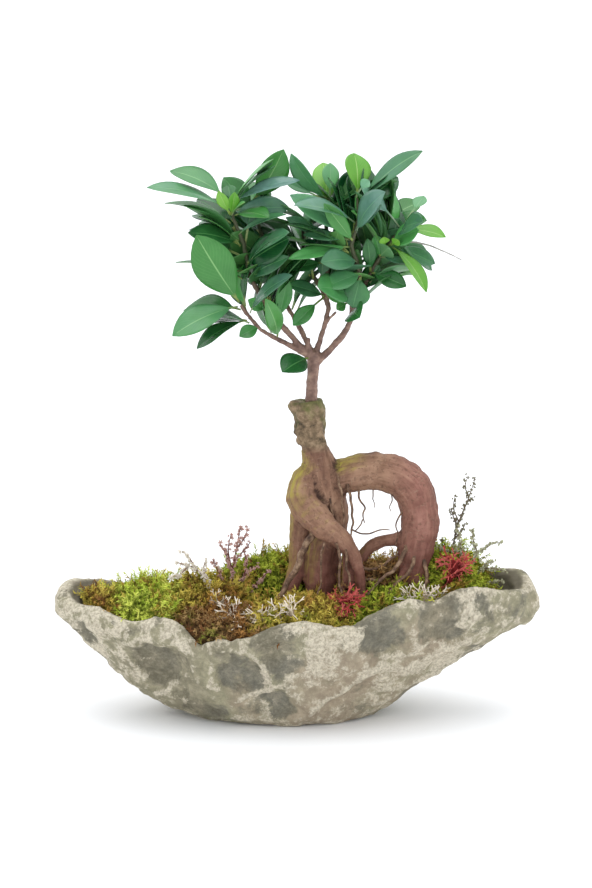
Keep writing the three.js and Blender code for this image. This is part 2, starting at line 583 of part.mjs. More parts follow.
// Cushions, front ones last: place, half sizes as shares of the bowl's, height over the soil, and moss.
const CUSHIONS = {
  moss_left_end: [-0.78, 0.0, 0.15, 0.36, 17, MOSS_GOLD],
  moss_left: [-0.6, 0.05, 0.2, 0.5, 25, MOSS_GREEN],
  moss_left_middle: [-0.38, 0.15, 0.22, 0.58, 26, MOSS_GOLD],
  moss_back_left: [-0.1, 0.5, 0.27, 0.46, 34, MOSS_GREEN],
  moss_back_right: [0.36, 0.5, 0.27, 0.42, 22, MOSS_GOLD],
  moss_right: [ARCH_FOOT + 0.138, 0.2, 0.19, 0.5, 35, MOSS_GREEN],
  moss_under_arch: [0.36, 0.0, 0.2, 0.4, 24, MOSS_BROWN],
  moss_front_left: [-0.33, -0.48, 0.22, 0.42, 15, MOSS_BROWN],
  moss_front: [0.03, -0.5, 0.24, 0.42, 21, MOSS_GOLD],
  moss_front_right: [0.43, -0.46, 0.24, 0.4, 22, MOSS_GREEN],
};

/** A cushion's height over the soil, at a share of the way from its middle to its edge. */
const domeHeight = (height, share) => height * Math.sqrt(Math.max(0, 1 - share ** 3));

/** The height of the ground, soil or moss, at a place over the bowl. */
function groundAt(x, y) {
  const heights = Object.values(CUSHIONS).map(([cx, cy, halfX, halfY, height]) =>
    domeHeight(height, Math.min(1, Math.hypot((x - cx) / halfX, (y - cy) / halfY))),
  );
  return soilTop(x * halfLength, y * halfWidth) + Math.max(...heights);
}

function cushion([cx, cy, halfX, halfY, height], grow) {
  const growX = halfX + grow / halfLength;
  const growY = halfY + grow / halfWidth;
  const ringAt = (share, over) =>
    ringOf(16, (a) => {
      const wobble = share * (1 + 0.06 * Math.sin(3 * a + 9 * cx) + 0.05 * Math.sin(5 * a + 7 * cy));
      const [x, y] = [cx + wobble * growX * Math.cos(a), cy + wobble * growY * Math.sin(a)];
      return overBowl(x, y, soilTop(x * halfLength, y * halfWidth) + over);
    });
  const shares = [0.93, 0.75, 0.5, 0.22];
  return skin([
    ringAt(0.5, -5),
    ringAt(1, -3),
    ringAt(1, grow + height * 0.08),
    ...shares.map((share) => ringAt(share, grow + domeHeight(height, share))),
  ]);
}

const planted = [
  roots(GAP),
  ...Object.values(SPRIGS).map((spec) => sprig(spec, GAP)),
  ...Object.values(TUFTS).map(([spec]) => tuft(spec, GAP)),
];
const room = cavity(GAP, ABOVE_ALL);
const clear = (body) => largest(body.intersect(room).subtract(planted[0]));
for (const [name, spec] of Object.entries(SPRIGS)) addMesh(name, clear(sprig(spec, 0)), DRY_TWIG);
for (const [name, [spec, material]] of Object.entries(TUFTS)) addMesh(name, clear(tuft(spec, 0)), material);

const soil = without(room.subtract(aboveSoil(0)), planted);
addMesh("potting_soil", largest(soil), SOIL);

const mossRoom = without(room.intersect(aboveSoil(GAP)), planted);
const laid = [];
for (const [name, spec] of Object.entries(CUSHIONS).reverse()) {
  addMesh(name, largest(without(cushion(spec, 0).intersect(mossRoom), laid)), spec[5]);
  laid.push(cushion(spec, GAP));
}

export default group;
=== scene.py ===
# A grafted fig bonsai with swollen, arching roots in a boat-shaped bowl of cast stone, with moss, lichen
# and dried sprigs round its foot. Metres, in the frame of the solid model, which gives every place.
import json
import math
import random

import bmesh
import bpy
import numpy as np
from mathutils import Matrix, Vector, kdtree, noise

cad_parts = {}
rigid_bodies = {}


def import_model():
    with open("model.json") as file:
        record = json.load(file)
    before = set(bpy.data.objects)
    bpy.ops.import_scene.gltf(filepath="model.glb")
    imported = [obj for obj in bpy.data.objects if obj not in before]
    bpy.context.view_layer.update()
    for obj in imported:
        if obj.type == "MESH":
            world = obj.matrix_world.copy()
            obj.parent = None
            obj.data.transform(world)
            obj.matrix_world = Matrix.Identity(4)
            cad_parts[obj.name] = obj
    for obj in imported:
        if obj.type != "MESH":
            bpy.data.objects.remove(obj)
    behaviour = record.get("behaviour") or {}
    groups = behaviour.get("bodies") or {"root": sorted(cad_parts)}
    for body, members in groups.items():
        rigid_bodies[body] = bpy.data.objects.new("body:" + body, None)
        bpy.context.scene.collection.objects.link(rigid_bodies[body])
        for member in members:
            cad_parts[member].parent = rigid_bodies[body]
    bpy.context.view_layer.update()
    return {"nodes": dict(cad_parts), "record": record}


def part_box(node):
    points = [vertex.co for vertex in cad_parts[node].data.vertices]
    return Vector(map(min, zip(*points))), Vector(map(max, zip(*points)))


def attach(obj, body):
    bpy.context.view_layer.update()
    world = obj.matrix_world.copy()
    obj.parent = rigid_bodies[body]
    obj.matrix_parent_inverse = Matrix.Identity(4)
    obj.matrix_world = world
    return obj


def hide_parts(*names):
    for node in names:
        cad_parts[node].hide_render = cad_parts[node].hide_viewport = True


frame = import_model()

# ------------------------------------------------------------------------------------------ studio
# The plant stands on a pale sweep of board in a white room, under a wide soft light that comes from
# overhead. The camera is a little above the rim of the bowl, on a long lens.

CAMERA_DISTANCE = 1.8
CAMERA_TILT = math.radians(12)
CAMERA_AIM = Vector((0.0, 0.0, 0.195))
CAMERA_LENS = 104


def placed(name, data):
    """A new object with its data, in the scene."""
    piece = bpy.data.objects.new(name, data)
    bpy.context.scene.collection.objects.link(piece)
    return piece


camera_data = bpy.data.cameras.new("camera")
camera_data.lens = CAMERA_LENS
camera_data.clip_end = 50
camera = placed("camera", camera_data)
toward_camera = Vector((0, -math.cos(CAMERA_TILT), math.sin(CAMERA_TILT)))
camera.location = CAMERA_AIM + CAMERA_DISTANCE * toward_camera
camera.rotation_euler = toward_camera.to_track_quat("Z", "Y").to_euler()
bpy.context.scene.camera = camera
bpy.context.scene.view_settings.view_transform = "Standard"


def node_adder(tree):
    """A function that adds a node to a tree, with its settings, and values or links for its inputs."""
    def add(kind, settings=None, **inputs):
        node = tree.nodes.new(kind)
        for key, value in (settings or {}).items():
            setattr(node, key, value)
        for key, value in inputs.items():
            numbered = key[0] == "i" and key[1:].isdigit()
            socket = node.inputs[int(key[1:])] if numbered else node.inputs[key]
            if isinstance(value, bpy.types.NodeSocket):
                tree.links.new(value, socket)
            else:
                socket.default_value = value
        return node

    return add


def new_material(name, roughness, gloss=0.5):
    """A node material with only its output and a Principled shader."""
    material = bpy.data.materials.new(name)
    material.use_nodes = True
    tree = material.node_tree
    tree.nodes.clear()
    add = node_adder(tree)
    shader = add("ShaderNodeBsdfPrincipled", Roughness=roughness, **{"Specular IOR Level": gloss})
    add("ShaderNodeOutputMaterial", Surface=shader.outputs["BSDF"])
    return material, shader, add, tree.links.new


def ramp(add, factor, stops):
    """A colour ramp over a factor, from (place, colour or grey) stops."""
    node = add("ShaderNodeValToRGB", Fac=factor)
    elements = node.color_ramp.elements
    while len(elements) < len(stops):
        elements.new(1.0)
    for element, (place, colour) in zip(elements, stops):
        element.position = place
        element.color = (*(colour if isinstance(colour, tuple) else [colour] * 3), 1.0)
    return node.outputs["Color"]


def mix(add, factor, a, b):
    """Two colours mixed by a factor."""
    a, b = ((*colour, 1.0) if isinstance(colour, tuple) else colour for colour in (a, b))
    return add("ShaderNodeMix", {"data_type": "RGBA"}, i0=factor, i6=a, i7=b).outputs[2]


def noisy(add, where, scale, detail=2.0, roughness=0.5, distortion=0.0):
    """Fractal noise."""
    return add("ShaderNodeTexNoise", Vector=where, Scale=scale, Detail=detail, Roughness=roughness,
               Distortion=distortion).outputs["Fac"]


def marked(add, name, output="Fac"):
    """A value that each point of the mesh carries."""
    return add("ShaderNodeAttribute", {"attribute_name": name}).outputs[output]


def scaled(add, value, by, plus=None, clamp=False):
    """A value times a number, and plus another if there is one."""
    if plus is None:
        return add("ShaderNodeMath", {"operation": "MULTIPLY", "use_clamp": clamp}, i0=value,
            i1=by).outputs[0]
    return add("ShaderNodeMath", {"operation": "MULTIPLY_ADD", "use_clamp": clamp},
               i0=value, i1=by, i2=plus).outputs[0]


def spanned(add, value, low, high, to_low, to_high, shape="LINEAR"):
    """A value carried over from one span to another."""
    return add("ShaderNodeMapRange", {"interpolation_type": shape}, Value=value, **{
        "From Min": low, "From Max": high, "To Min": to_low, "To Max": to_high}).outputs[0]


def bump(add, height, strength, distance, under=None, invert=False):
    """Fine relief, over the relief under it if there is one."""
    node = add("ShaderNodeBump", {"invert": invert}, Height=height, Strength=strength, Distance=distance)
    if under:
        node.id_data.links.new(under, node.inputs["Normal"])
    return node.outputs[0]


FLOOR_HALF = 30

floor_material, shader, add, link = new_material("floor_board", 0.9, 0.1)
shader.inputs["Base Color"].default_value = (0.93, 0.93, 0.94, 1)
floor_mesh = bpy.data.meshes.new("floor")
corners = [(-1, -1), (1, -1), (1, 1), (-1, 1)]
floor_mesh.from_pydata([(x * FLOOR_HALF, y * FLOOR_HALF, 0) for x, y in corners], [], [(0, 1, 2, 3)])
floor_mesh.materials.append(floor_material)
floor = placed("floor", floor_mesh)

WALLS_BRIGHT = 1.14
LIGHT_BRIGHT = 1.3
LIGHT_WIDTH = math.radians(60)
LIGHT_FROM = Vector((-0.06, 0.08, 1.0))

world = bpy.data.worlds.new("studio")
world.use_nodes = True
walls = world.node_tree.nodes["Background"]
walls.inputs["Color"].default_value = (0.94, 0.97, 1.0, 1)
walls.inputs["Strength"].default_value = WALLS_BRIGHT
bpy.context.scene.world = world

sun = bpy.data.lights.new("window_light", "SUN")
sun.energy = LIGHT_BRIGHT
sun.angle = LIGHT_WIDTH
placed("window_light", sun).rotation_euler = LIGHT_FROM.to_track_quat("Z", "Y").to_euler()

# ------------------------------------------------------------------------------------------ bowl
# The bowl is cast in concrete in a mould taken from rough rock: its wall is broken into flat chipped
# faces, and a cream wash is rubbed over the dark cast so that it stays on the ridges.

BOWL_VOXEL = 0.0017
BOWL_SMOOTHING = 3
FACE_APART = 0.038  # between the middles of the rock's larger faces
FACE_DEPTH = 0.0042
FACE_RISE = 0.0017  # how far the edges between faces stand out
LIP_SWELL = 0.0022  # how far the lip swells out all round, and twice that at the left end
CHIP_APART = 0.012
CHIP_DEEPEST = 0.0014
CHIP_SHALLOWEST = 0.0003
CHIP_WIDTHS = (0.008, 0.02)
FACE_WARP = 0.008  # how far the edges between faces wander
EDGE_WIDTH = 0.014
COARSE_ROUGHNESS = 0.0008
FINE_ROUGHNESS = 0.0005
STONE_WASH = (0.55, 0.49, 0.37)


def merged_copy(node, name):
    """A new object with a copy of a solid's mesh, its loose triangles joined."""
    mesh = frame["nodes"][node].data.copy()
    mesh.name = name
    mesh.materials.clear()
    surface = bmesh.new()
    surface.from_mesh(mesh)
    bmesh.ops.remove_doubles(surface, verts=surface.verts, dist=2e-6)
    surface.to_mesh(mesh)
    surface.free()
    return placed(name, mesh)


def plain_mesh(piece):
    """What a piece looks like with its modifiers, as a mesh of its own."""
    return bpy.data.meshes.new_from_object(piece.evaluated_get(bpy.context.evaluated_depsgraph_get()))


def settle(piece):
    """The piece's modifiers applied, leaving a plain mesh."""
    shape = plain_mesh(piece)
    piece.modifiers.clear()
    old, piece.data = piece.data, shape
    bpy.data.meshes.remove(old)
    shape.name = piece.name
    return piece


def skinned(node, name, voxel, smoothing):
    """A solid's copy as an even, softened skin of small faces."""
    piece = merged_copy(node, name)
    remesh = piece.modifiers.new("skin", "REMESH")
    remesh.mode = "VOXEL"
    remesh.voxel_size = voxel
    remesh.use_smooth_shade = True
    smooth = piece.modifiers.new("soften", "SMOOTH")
    smooth.factor = 0.5
    smooth.iterations = smoothing
    return settle(piece)


def points_of(mesh):
    """Positions and normals of a mesh's points, as arrays."""
    places = np.empty(len(mesh.vertices) * 3)
    mesh.vertices.foreach_get("co", places)
    normals = np.empty(len(mesh.vertices) * 3)
    mesh.vertex_normals.foreach_get("vector", normals)
    return places.reshape(-1, 3), normals.reshape(-1, 3)


def move_points(mesh, places):
    mesh.vertices.foreach_set("co", places.astype(np.float32).ravel())
    mesh.update()


def store(mesh, name, values, kind="FLOAT"):
    """Values per point kept as a named attribute."""
    attribute = mesh.attributes.new(name, kind, "POINT")
    attribute.data.foreach_set("value" if kind == "FLOAT" else "vector",
        np.asarray(values, dtype=np.float32).ravel())


def softened(values, mesh, rounds):
    """Values per point averaged with their neighbours, some rounds over."""
    ends = np.empty(len(mesh.edges) * 2, dtype=np.int64)
    mesh.edges.foreach_get("vertices", ends)
    a, b = ends.reshape(-1, 2).T
    count = len(mesh.vertices)
    degree = np.bincount(a, minlength=count) + np.bincount(b, minlength=count)
    result = values.astype(float)
    for _ in range(rounds):
        total = [
            np.bincount(
                a, weights=column[b], minlength=count,
            ) + np.bincount(b, weights=column[a], minlength=count)
            for column in result.T
        ]
        result = 0.5 * result + 0.5 * np.stack(total, axis=1) / degree[:, None]
    return result


def ridges(mesh, rounds, depth):
    """How proud each point stands of its softened surroundings: -1 in a hollow, 1 on a ridge."""
    places, normals = points_of(mesh)
    proud = np.einsum("ij,ij->i", places - softened(places, mesh, rounds), normals)
    return np.clip(proud / depth, -1, 1)


def noise_at(places, scale, octaves=4, shift=0.0):
    """Fractal noise at places, about -1 to 1, with features about 1 / scale across."""
    move = Vector((shift, shift * 1.7, -shift))
    return np.array([noise.fractal(Vector(p) * scale + move, 0.9, 2.0, octaves) for p in places])


def chip(places, normals, centre, facing, depth, radius):
    """Points cut back to a flat face that lies a depth under a centre."""
    away = places - centre
    near = np.linalg.norm(away, axis=1)
    over = away @ facing + depth
    weight = np.clip((1.25 * radius - near) / (0.35 * radius), 0, 1) * (over > 0) * (normals @ facing > 0.25)
    return places - np.outer(over * weight, facing)


bowl = skinned("stone_bowl", "rock_bowl", BOWL_VOXEL, BOWL_SMOOTHING)
places, normals = points_of(bowl.data)
bowl_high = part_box("stone_bowl")[1]
outward = np.einsum("ij,ij->i", normals[:, :2], places[:, :2] * [0.3, 1.0])
outside = np.flatnonzero((outward > 0) & (normals[:, 2] < 0.3) & (normals[:, 2] > -0.8))
chips = np.random.default_rng(4)
# Middles of the rock's larger faces on the front, as shares of the bowl's half length and of its height, and
# how deep each is; then the sharp ridges between some of them, in the same shares.
FRONT_FACES = [
    (-0.9, 0.72, 0.7), (-0.72, 0.74, 0.4), (-0.58, 0.44, 1.0), (-0.4, 0.16, 0.5), (-0.23, 0.44, 0.85),
    (-0.05, 0.58, 0.9), (-0.1, 0.22, 0.9), (0.16, 0.6, 0.15), (0.27, 0.2, 0.6), (0.35, 0.68, 1.0),
    (0.5, 0.42, 0.35), (0.62, 0.72, 0.9), (0.78, 0.78, 0.5), (0.9, 0.9, 0.4), (0.06, 0.38, 0.3),
]
SHARP_RIDGES = [
    [(0.45, 0.42), (0.71, 0.61), (0.87, 0.73)], [(-0.02, 0.05), (0.2, 0.32), (0.34, 0.48)],
    [(-0.36, 0.66), (-0.34, 0.2)], [(-0.85, 0.7), (-0.65, 0.62), (-0.5, 0.62)],
    [(0.08, 0.66), (0.2, 0.5), (0.45, 0.42)],
]
RIDGE_RISE = 0.0022
RIDGE_WIDTH = 0.0042
half_length, tall = bowl_high[0], bowl_high[2]
middles = []
for x_share, z_share, _ in FRONT_FACES:
    aimed = np.hypot(places[:, 0] - x_share * half_length,
        places[:, 2] - z_share * tall) + 0.05 * (normals[:, 1] > -0.15)
    middles.append(outside[np.argmin(aimed[outside])])
for number in chips.permutation(outside):
    if all(np.linalg.norm(places[number] - places[other]) > FACE_APART for other in middles):
        middles.append(number)
warp = np.stack([noise_at(places, 42, 3, shift) for shift in (0.0, 7.0, 13.0)], axis=1) * FACE_WARP
spans = np.linalg.norm((places + warp)[:, None, :] * [0.8, 1, 1] - places[middles][None] * [0.8, 1, 1],
    axis=2)
ranked = np.partition(spans, 1, axis=1)
edge = ranked[:, 1] - ranked[:, 0]
face_depths = chips.uniform(0.35, 1.0, len(middles))
face_depths[:len(FRONT_FACES)] = [deep for _, _, deep in FRONT_FACES]
share_deep = face_depths[np.argmin(spans, axis=1)]
hollowed = share_deep * np.clip(edge / EDGE_WIDTH, 0, 1) ** 0.7
rim_fade = np.clip((outward + 0.01) / 0.02, 0, 1) * np.clip((places[:, 2] - 0.003) / 0.008, 0, 1)
hollowed = softened((hollowed * rim_fade)[:, None], bowl.data, 1)[:, 0]
cast_shape = places + normals * (FACE_RISE * softened(rim_fade[:, None], bowl.data, 2)[:,
    0] - FACE_DEPTH * hollowed)[:, None]
on_front = np.clip(-normals[:, 1] * 3, 0, 1) * (outward > 0) * np.clip(places[:, 2] / 0.01, 0, 1)
for line in SHARP_RIDGES:
    for (x0, z0), (x1, z1) in zip(line, line[1:]):
        start, along = np.array([x0 * half_length, z0 * tall]), np.array([(x1 - x0) * half_length,
            (z1 - z0) * tall])
        across = places[:, [0, 2]] + warp[:, [0, 2]] * 0.4 - start
        share = np.clip(across @ along / (along @ along), 0, 1)
        away = np.linalg.norm(across - share[:, None] * along, axis=1)
        risen = RIDGE_RISE * np.exp(-(away / RIDGE_WIDTH) ** 2) * on_front
        cast_shape = cast_shape + normals * risen[:, None]
        hollowed = hollowed * (1 - 0.8 * risen / RIDGE_RISE)
by_lip = np.clip((outward + 0.02) / 0.03, 0, 1) * np.clip((places[:, 2] - 0.45 * tall) / (0.35 * tall), 0, 1)
at_left_end = np.clip((-0.86 * half_length - places[:, 0]) / (0.1 * half_length), 0, 1)
swell = softened((LIP_SWELL * by_lip * (1 + at_left_end))[:, None], bowl.data, 3)
cast_shape = cast_shape + normals * swell
places = cast_shape.copy()
centres = []
for number in chips.permutation(outside):
    if all(np.linalg.norm(places[number] - places[other]) > CHIP_APART for other in centres):
        centres.append(number)
for number in centres:
    facing = normals[number] + chips.normal(0, 0.2, 3)
    facing /= np.linalg.norm(facing)
    deep, wide = chips.uniform(CHIP_SHALLOWEST, CHIP_DEEPEST), chips.uniform(*CHIP_WIDTHS)
    places = chip(places, normals, cast_shape[number], facing, deep, wide)
cut = places - cast_shape
depth = np.linalg.norm(cut, axis=1, keepdims=True)
places = cast_shape + cut * np.minimum(1, CHIP_DEEPEST / np.maximum(depth, 1e-9))
move_points(bowl.data, places)
places, normals = points_of(bowl.data)
standing = np.clip((places[:, 2] - 0.0015) / 0.006, 0, 1)
rough = COARSE_ROUGHNESS * noise_at(places, 48, 3) + FINE_ROUGHNESS * noise_at(places * [1, 1, 1.8], 150, 4,
    5.0)
places = places + normals * (rough * standing)[:, None]
move_points(bowl.data, places)
store(bowl.data, "ridge", ridges(bowl.data, 16, 0.0009))
store(bowl.data, "hollow", hollowed)
# The inside of the wall above the soil, which is painted darker as painted shade.
inside = (outward < -0.002) & (places[:, 2] > 0.02)
store(bowl.data, "inner", softened(inside.astype(float)[:, None], bowl.data, 2)[:, 0])

stone, shader, add, link = new_material("cast_stone", 0.9, 0.25)
object_place = add("ShaderNodeTexCoord").outputs["Object"]
ridge = marked(add, "ridge")
sunken = marked(add, "hollow")
inner = marked(add, "inner")
patches = noisy(add, object_place, 24.0, 8.0, 0.7, 0.6)
flakes = noisy(add, object_place, 105.0, 9.0, 0.82, 0.15)
clouds = noisy(add, object_place, 9.0, 4.0, 0.6)
crumbs = noisy(add, object_place, 300.0, 6.0, 0.75)
# The bare cast: grey in the hollows, khaki and brown between them.
khaki = ramp(add, clouds,
    [(0.38, (0.28, 0.25, 0.17)), (0.5, (0.36, 0.335, 0.215)), (0.6, (0.42, 0.33, 0.24))])
worn = scaled(add, patches, -3.2, 1.72)
sunk = scaled(add, sunken, 0.75, worn, clamp=True)
dull = ramp(add, sunk, [(0.38, 0), (0.68, 1)])
grey = ramp(add, clouds,
    [(0.4, (0.13, 0.115, 0.08)), (0.52, (0.145, 0.14, 0.12)), (0.62, (0.19, 0.16, 0.11))])
bare = mix(add, dull, khaki, grey)
grained = mix(add, 0.4, bare,
    ramp(add, flakes, [(0.34, (0.07, 0.06, 0.045)), (0.48, (0.25, 0.23, 0.16)), (0.6, (0.52, 0.46, 0.33))]))
# The wash: a crust of flecks, thick on the ridges, thin or gone in the hollows.
laid = noisy(add, object_place, 15.0, 7.0, 0.68, 1.2)
caught = scaled(add, ridge, 0.12, laid)
left_in = scaled(add, sunken, -0.12, caught)
flaky = scaled(add, flakes, 0.85, left_in)
crusty = scaled(add, crumbs, 0.3, flaky)
washed = scaled(add, crusty, 0.55)
wash = ramp(add, washed, [(0.575, 0), (0.6, 0.6), (0.64, 1)])
cream = mix(add, clouds, STONE_WASH, (0.5, 0.42, 0.31))
speckle = noisy(add, object_place, 480.0, 4.0, 0.75)
speckled = mix(add, 0.4, cream, ramp(add, speckle, [(0.38, (0.15, 0.13, 0.1)), (0.58, (0.9, 0.84, 0.68))]))
rock = mix(add, wash, grained, speckled)
# Painted shade: the inside of the wall is painted dark, where shade falls in the bowl.
with_painted_inner_shade = mix(add, inner, rock, (0.16, 0.14, 0.1))
link(with_painted_inner_shade, shader.inputs["Base Color"])
grain = bump(add, washed, 0.7, 0.003)
pits = bump(add, speckle, 0.35, 0.0005, grain)
link(pits, shader.inputs["Normal"])
bowl.data.materials.append(stone)
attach(bowl, "root")
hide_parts("stone_bowl")

# ------------------------------------------------------------------------------------------ soil
# Dark, gritty potting soil fills the bowl. It shows between the cushions of moss and is dug up round
# the roots.

SOIL_VOXEL = 0.0022
SOIL_LUMPS = 0.0012

earth = skinned("potting_soil", "crumbly_soil", SOIL_VOXEL, 1)
places, normals = points_of(earth.data)
top_side = np.clip(normals[:, 2], 0, 1)
move_points(earth.data, places + normals * (SOIL_LUMPS * noise_at(places, 160, 3) * top_side)[:, None])
soil, shader, add, link = new_material("potting_soil", 1.0)
object_place = add("ShaderNodeTexCoord").outputs["Object"]
crumbs = noisy(add, object_place, 240.0, 7.0, 0.75)
grit = add("ShaderNodeTexVoronoi", Vector=object_place, Scale=330.0)
dark_earth = ramp(add, crumbs,
    [(0.35, (0.012, 0.008, 0.005)), (0.55, (0.05, 0.032, 0.02)), (0.75, (0.13, 0.085, 0.05))])
link(dark_earth, shader.inputs["Base Color"])
clods = bump(add, crumbs, 0.8, 0.002)
grains = bump(add, grit.outputs["Distance"], 0.5, 0.001, clods)
link(grains, shader.inputs["Normal"])
earth.data.materials.append(soil)
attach(earth, "root")
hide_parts("potting_soil")

# ------------------------------------------------------------------------------------------ rootstock
# The swollen roots of a seedling fig, lifted out of the soil as it grew: a trunk, a root that crosses in
# front of it and one that arches over to its own foot. Thin skin-like bark, reddish brown, with fine
# wrinkles along each root and pale specks across it.

ROOT_VOXEL = 0.0011
ROOT_SMOOTHING = 5
# Each main root's middle line in millimetres from the planting point, and its radius.
ROOT_LINES = {
    "stump": [(13, 0, 108, 9.4), (11, 0, 120, 9.8), (8.5, 0, 131, 10.6), (7.5, 0, 142, 11.2)],
    "trunk": [
        (12, 0, 116, 8.6), (16, 1, 97, 12.5), (20.5, 4, 70, 15.8), (22, 4, 55, 15.4), (18, 1, 27, 12.6),
        (17, -1, -3, 9.5),
    ],
    "front": [
        (8, -2, 87, 10), (4, -8, 74, 11.5), (13, -14, 62, 11.4), (23, -19, 54, 9), (32, -21.5, 47, 7),
        (39, -22, 38.5, 5.4), (43.5, -21, 28, 4.2), (45.5, -20, 16, 3.6), (46.5, -19, 3, 3.2),
    ],
    "left": [(8, 1, 78, 9), (4, 3, 58, 8.6), (3, 3, 40, 8), (1, 1, 22, 6.8), (-5, -2, 6, 5)],
    "arch": [
        (22, 2, 85, 11), (39, 4, 89, 12.6), (56, 4, 91, 13.6), (72, 2, 87, 14.4), (82.5, 0, 77, 14.4),
        (87, -2, 62, 13.9), (86.5, -4, 47, 13), (84, -5, 32, 12), (82, -6, 17, 10.6), (80, -7, 2, 8),
    ],
    "bridge": [
        (84, -4, 38, 8), (73, -2, 43, 5.8), (62, 0, 41, 5), (52, 0, 36, 4.6), (45, -1, 27, 4.6),
        (40, -2, 14, 4.4), (37, -3, 0, 4),
    ],
}
# Lumps and dents of the stump and the shoulders: place, radius and height, in millimetres.
STUMP_LUMPS = [
    (-3, -3, 139, 6, 2.2), (0, -4, 129, 5, -2.2), (0.5, -4, 120, 5.5, 2.4), (2, -4, 112.5, 4, 1.6),
    (19, -2, 132, 8, 1.8), (20, -1, 118, 5, -1.4), (9, -11, 125, 6, -1.6), (12, -10, 136, 6, 1.2),
    (14, -9, 113, 5, 1.4), (6, 8, 124, 7, 1.6), (3, -12, 90, 8, 1.2), (26, -4, 98, 7, -1.4),
    (40, -6, 101, 8, 1.2), (64, -10, 99, 9, -1.0), (92, -8, 84, 9, 1.2), (76, -14, 62, 8, -1.2),
    (98, -6, 50, 8, 1.0), (82, -15, 40, 8, 1.2), (16, -14, 28, 9, 1.4), (26, -12, 58, 7, -1.4),
]
WRINKLES = 0.00055
SWELLING = 0.0008
KNOBS = 0.0007
STUMP_ROUGHNESS = 0.0016
STUMP_FOOT, STUMP_TOP = 0.106, 0.139  # heights over the planting point
ROOT_SHIFT = 0.5  # sets the grain of one root apart from the next
SHOOT_FOOT = 0.128  # height of the grafted shoot's lower end over the planting point
planting = Vector((0.0, 0.0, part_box("grafted_shoot")[0][2] - SHOOT_FOOT))


def on_tree(x, y, z):
    """A point of the tree, given in millimetres from the planting point."""
    return planting + Vector((x, y, z)) * 0.001


def spline_points(knots, steps):
    """Points along a smooth line through knots, as Catmull and Rom draw it."""
    padded = [2 * knots[0] - knots[1], *knots, 2 * knots[-1] - knots[-2]]
    line = []
    for i in range(1, len(padded) - 2):
        a, b, c, d = padded[i - 1:i + 3]
        for step in range(steps):
            t = step / steps
            line.append(0.5 * (2 * b + (c - a) * t + (2 * a - 5 * b + 4 * c - d) * t ** 2
                               + (3 * b - a - 3 * c + d) * t ** 3))
    line.append(padded[-2])
    return line


def smooth_line(rows, place, steps):
    """Points along a smooth line through (x, y, z, radius) rows in millimetres, and their radii in metres."""
    middle = spline_points([place(*row[:3]) for row in rows], steps)
    shares = np.linspace(0, len(rows) - 1, len(middle))
    return middle, np.interp(shares, range(len(rows)), [row[3] for row in rows]) * 0.001


def root_grain(mesh, lines):
    """For every point: where it is round and along its root, as a seamless place, and which root it's on."""
    samples = []
    for number, rows in enumerate(lines.values()):
        middle, radii = smooth_line(rows, on_tree, 6)
        side = Vector((0.2, 1.0, 0.1))
        length = 0.0
        for i, point in enumerate(middle):
            ahead = (middle[min(i + 1, len(middle) - 1)] - middle[max(i - 1, 0)]).normalized()
            side = (side - side.dot(ahead) * ahead).normalized()
            if i:
                length += (point - middle[i - 1]).length
            samples.append((point, ahead, side, radii[i], length + ROOT_SHIFT * number))
    tree = kdtree.KDTree(len(samples))
    for i, sample in enumerate(samples):
        tree.insert(sample[0], i)
    tree.balance()
    grain = np.empty((len(mesh.vertices), 3))
    for vertex in mesh.vertices:
        found = tree.find_n(vertex.co, 10)
        _, best, _ = min(found, key=lambda hit: hit[2] - samples[hit[1]][3])
        point, ahead, side, radius, length = samples[best]
        out = vertex.co - point
        other = ahead.cross(side)
        u, v = out.dot(side), out.dot(other)
        size = max(math.hypot(u, v), 1e-5)
        grain[vertex.index] = (radius * u / size, radius * v / size, length + out.dot(ahead))
    return grain


roots = skinned("rootstock", "swollen_roots", ROOT_VOXEL, ROOT_SMOOTHING)
grain_place = root_grain(roots.data, ROOT_LINES)
grain_place = softened(grain_place, roots.data, 4)
places, normals = points_of(roots.data)
stretched = grain_place * [1, 1, 0.18]
wrinkles = WRINKLES * noise_at(stretched, 190, 3)
swelling = SWELLING * noise_at(places, 55, 2, 4.0)
knobs = KNOBS * noise_at(places, 170, 2, 9.0)
stump_zone = np.clip((places[:, 2] - (planting.z + STUMP_FOOT)) / 0.006, 0, 1)
cut_top = places[:, 2] > planting.z + STUMP_TOP
rough_stump = stump_zone * (STUMP_ROUGHNESS * noise_at(places * [1, 1, 0.6], 150, 4, 2.0)) * np.where(cut_top,
    0.2, 1)
lumps = np.zeros(len(places))
for x, y, z, radius, raised in STUMP_LUMPS:
    away = np.linalg.norm(places - np.array(on_tree(x, y, z)), axis=1) / (radius * 0.001)
    lumps += 0.001 * raised * np.exp(-away ** 2)
rise = (wrinkles + swelling + knobs) * (1 - 0.4 * stump_zone) + rough_stump + lumps
move_points(roots.data, places + normals * rise[:, None])
store(roots.data, "grain", grain_place, "FLOAT_VECTOR")
store(roots.data, "ridge", ridges(roots.data, 10, 0.0006))
# Painted shade: the deep folds where the roots meet, to be painted dark.
store(roots.data, "crevice", np.clip(-1.3 * ridges(roots.data, 90, 0.0026), 0, 1))
places, normals = points_of(roots.data)
millimetres = (places - np.array(planting)) * 1000
# Greenish yellow near the trunk on the root faces that turn up and to the left: partly algae on the bark,
# partly a painted highlight on the sides that face the light.
left_and_up = np.clip(1.3 * normals[:, 2] - 1.2 * normals[:, 0] - 0.4, 0, 1)
near_trunk = np.clip((52 - millimetres[:, 0]) / 14, 0, 1) * np.clip((millimetres[:, 2] - 2) / 12, 0, 1)
store(roots.data, "algae", left_and_up * near_trunk * (1 - stump_zone))
reddened = np.clip((millimetres[:, 0] - 60) / 25, 0, 1) + np.clip((45 - millimetres[:, 2]) / 30, 0, 1)
store(roots.data, "reddened", np.clip(reddened, 0, 1))
store(roots.data, "stump", stump_zone)

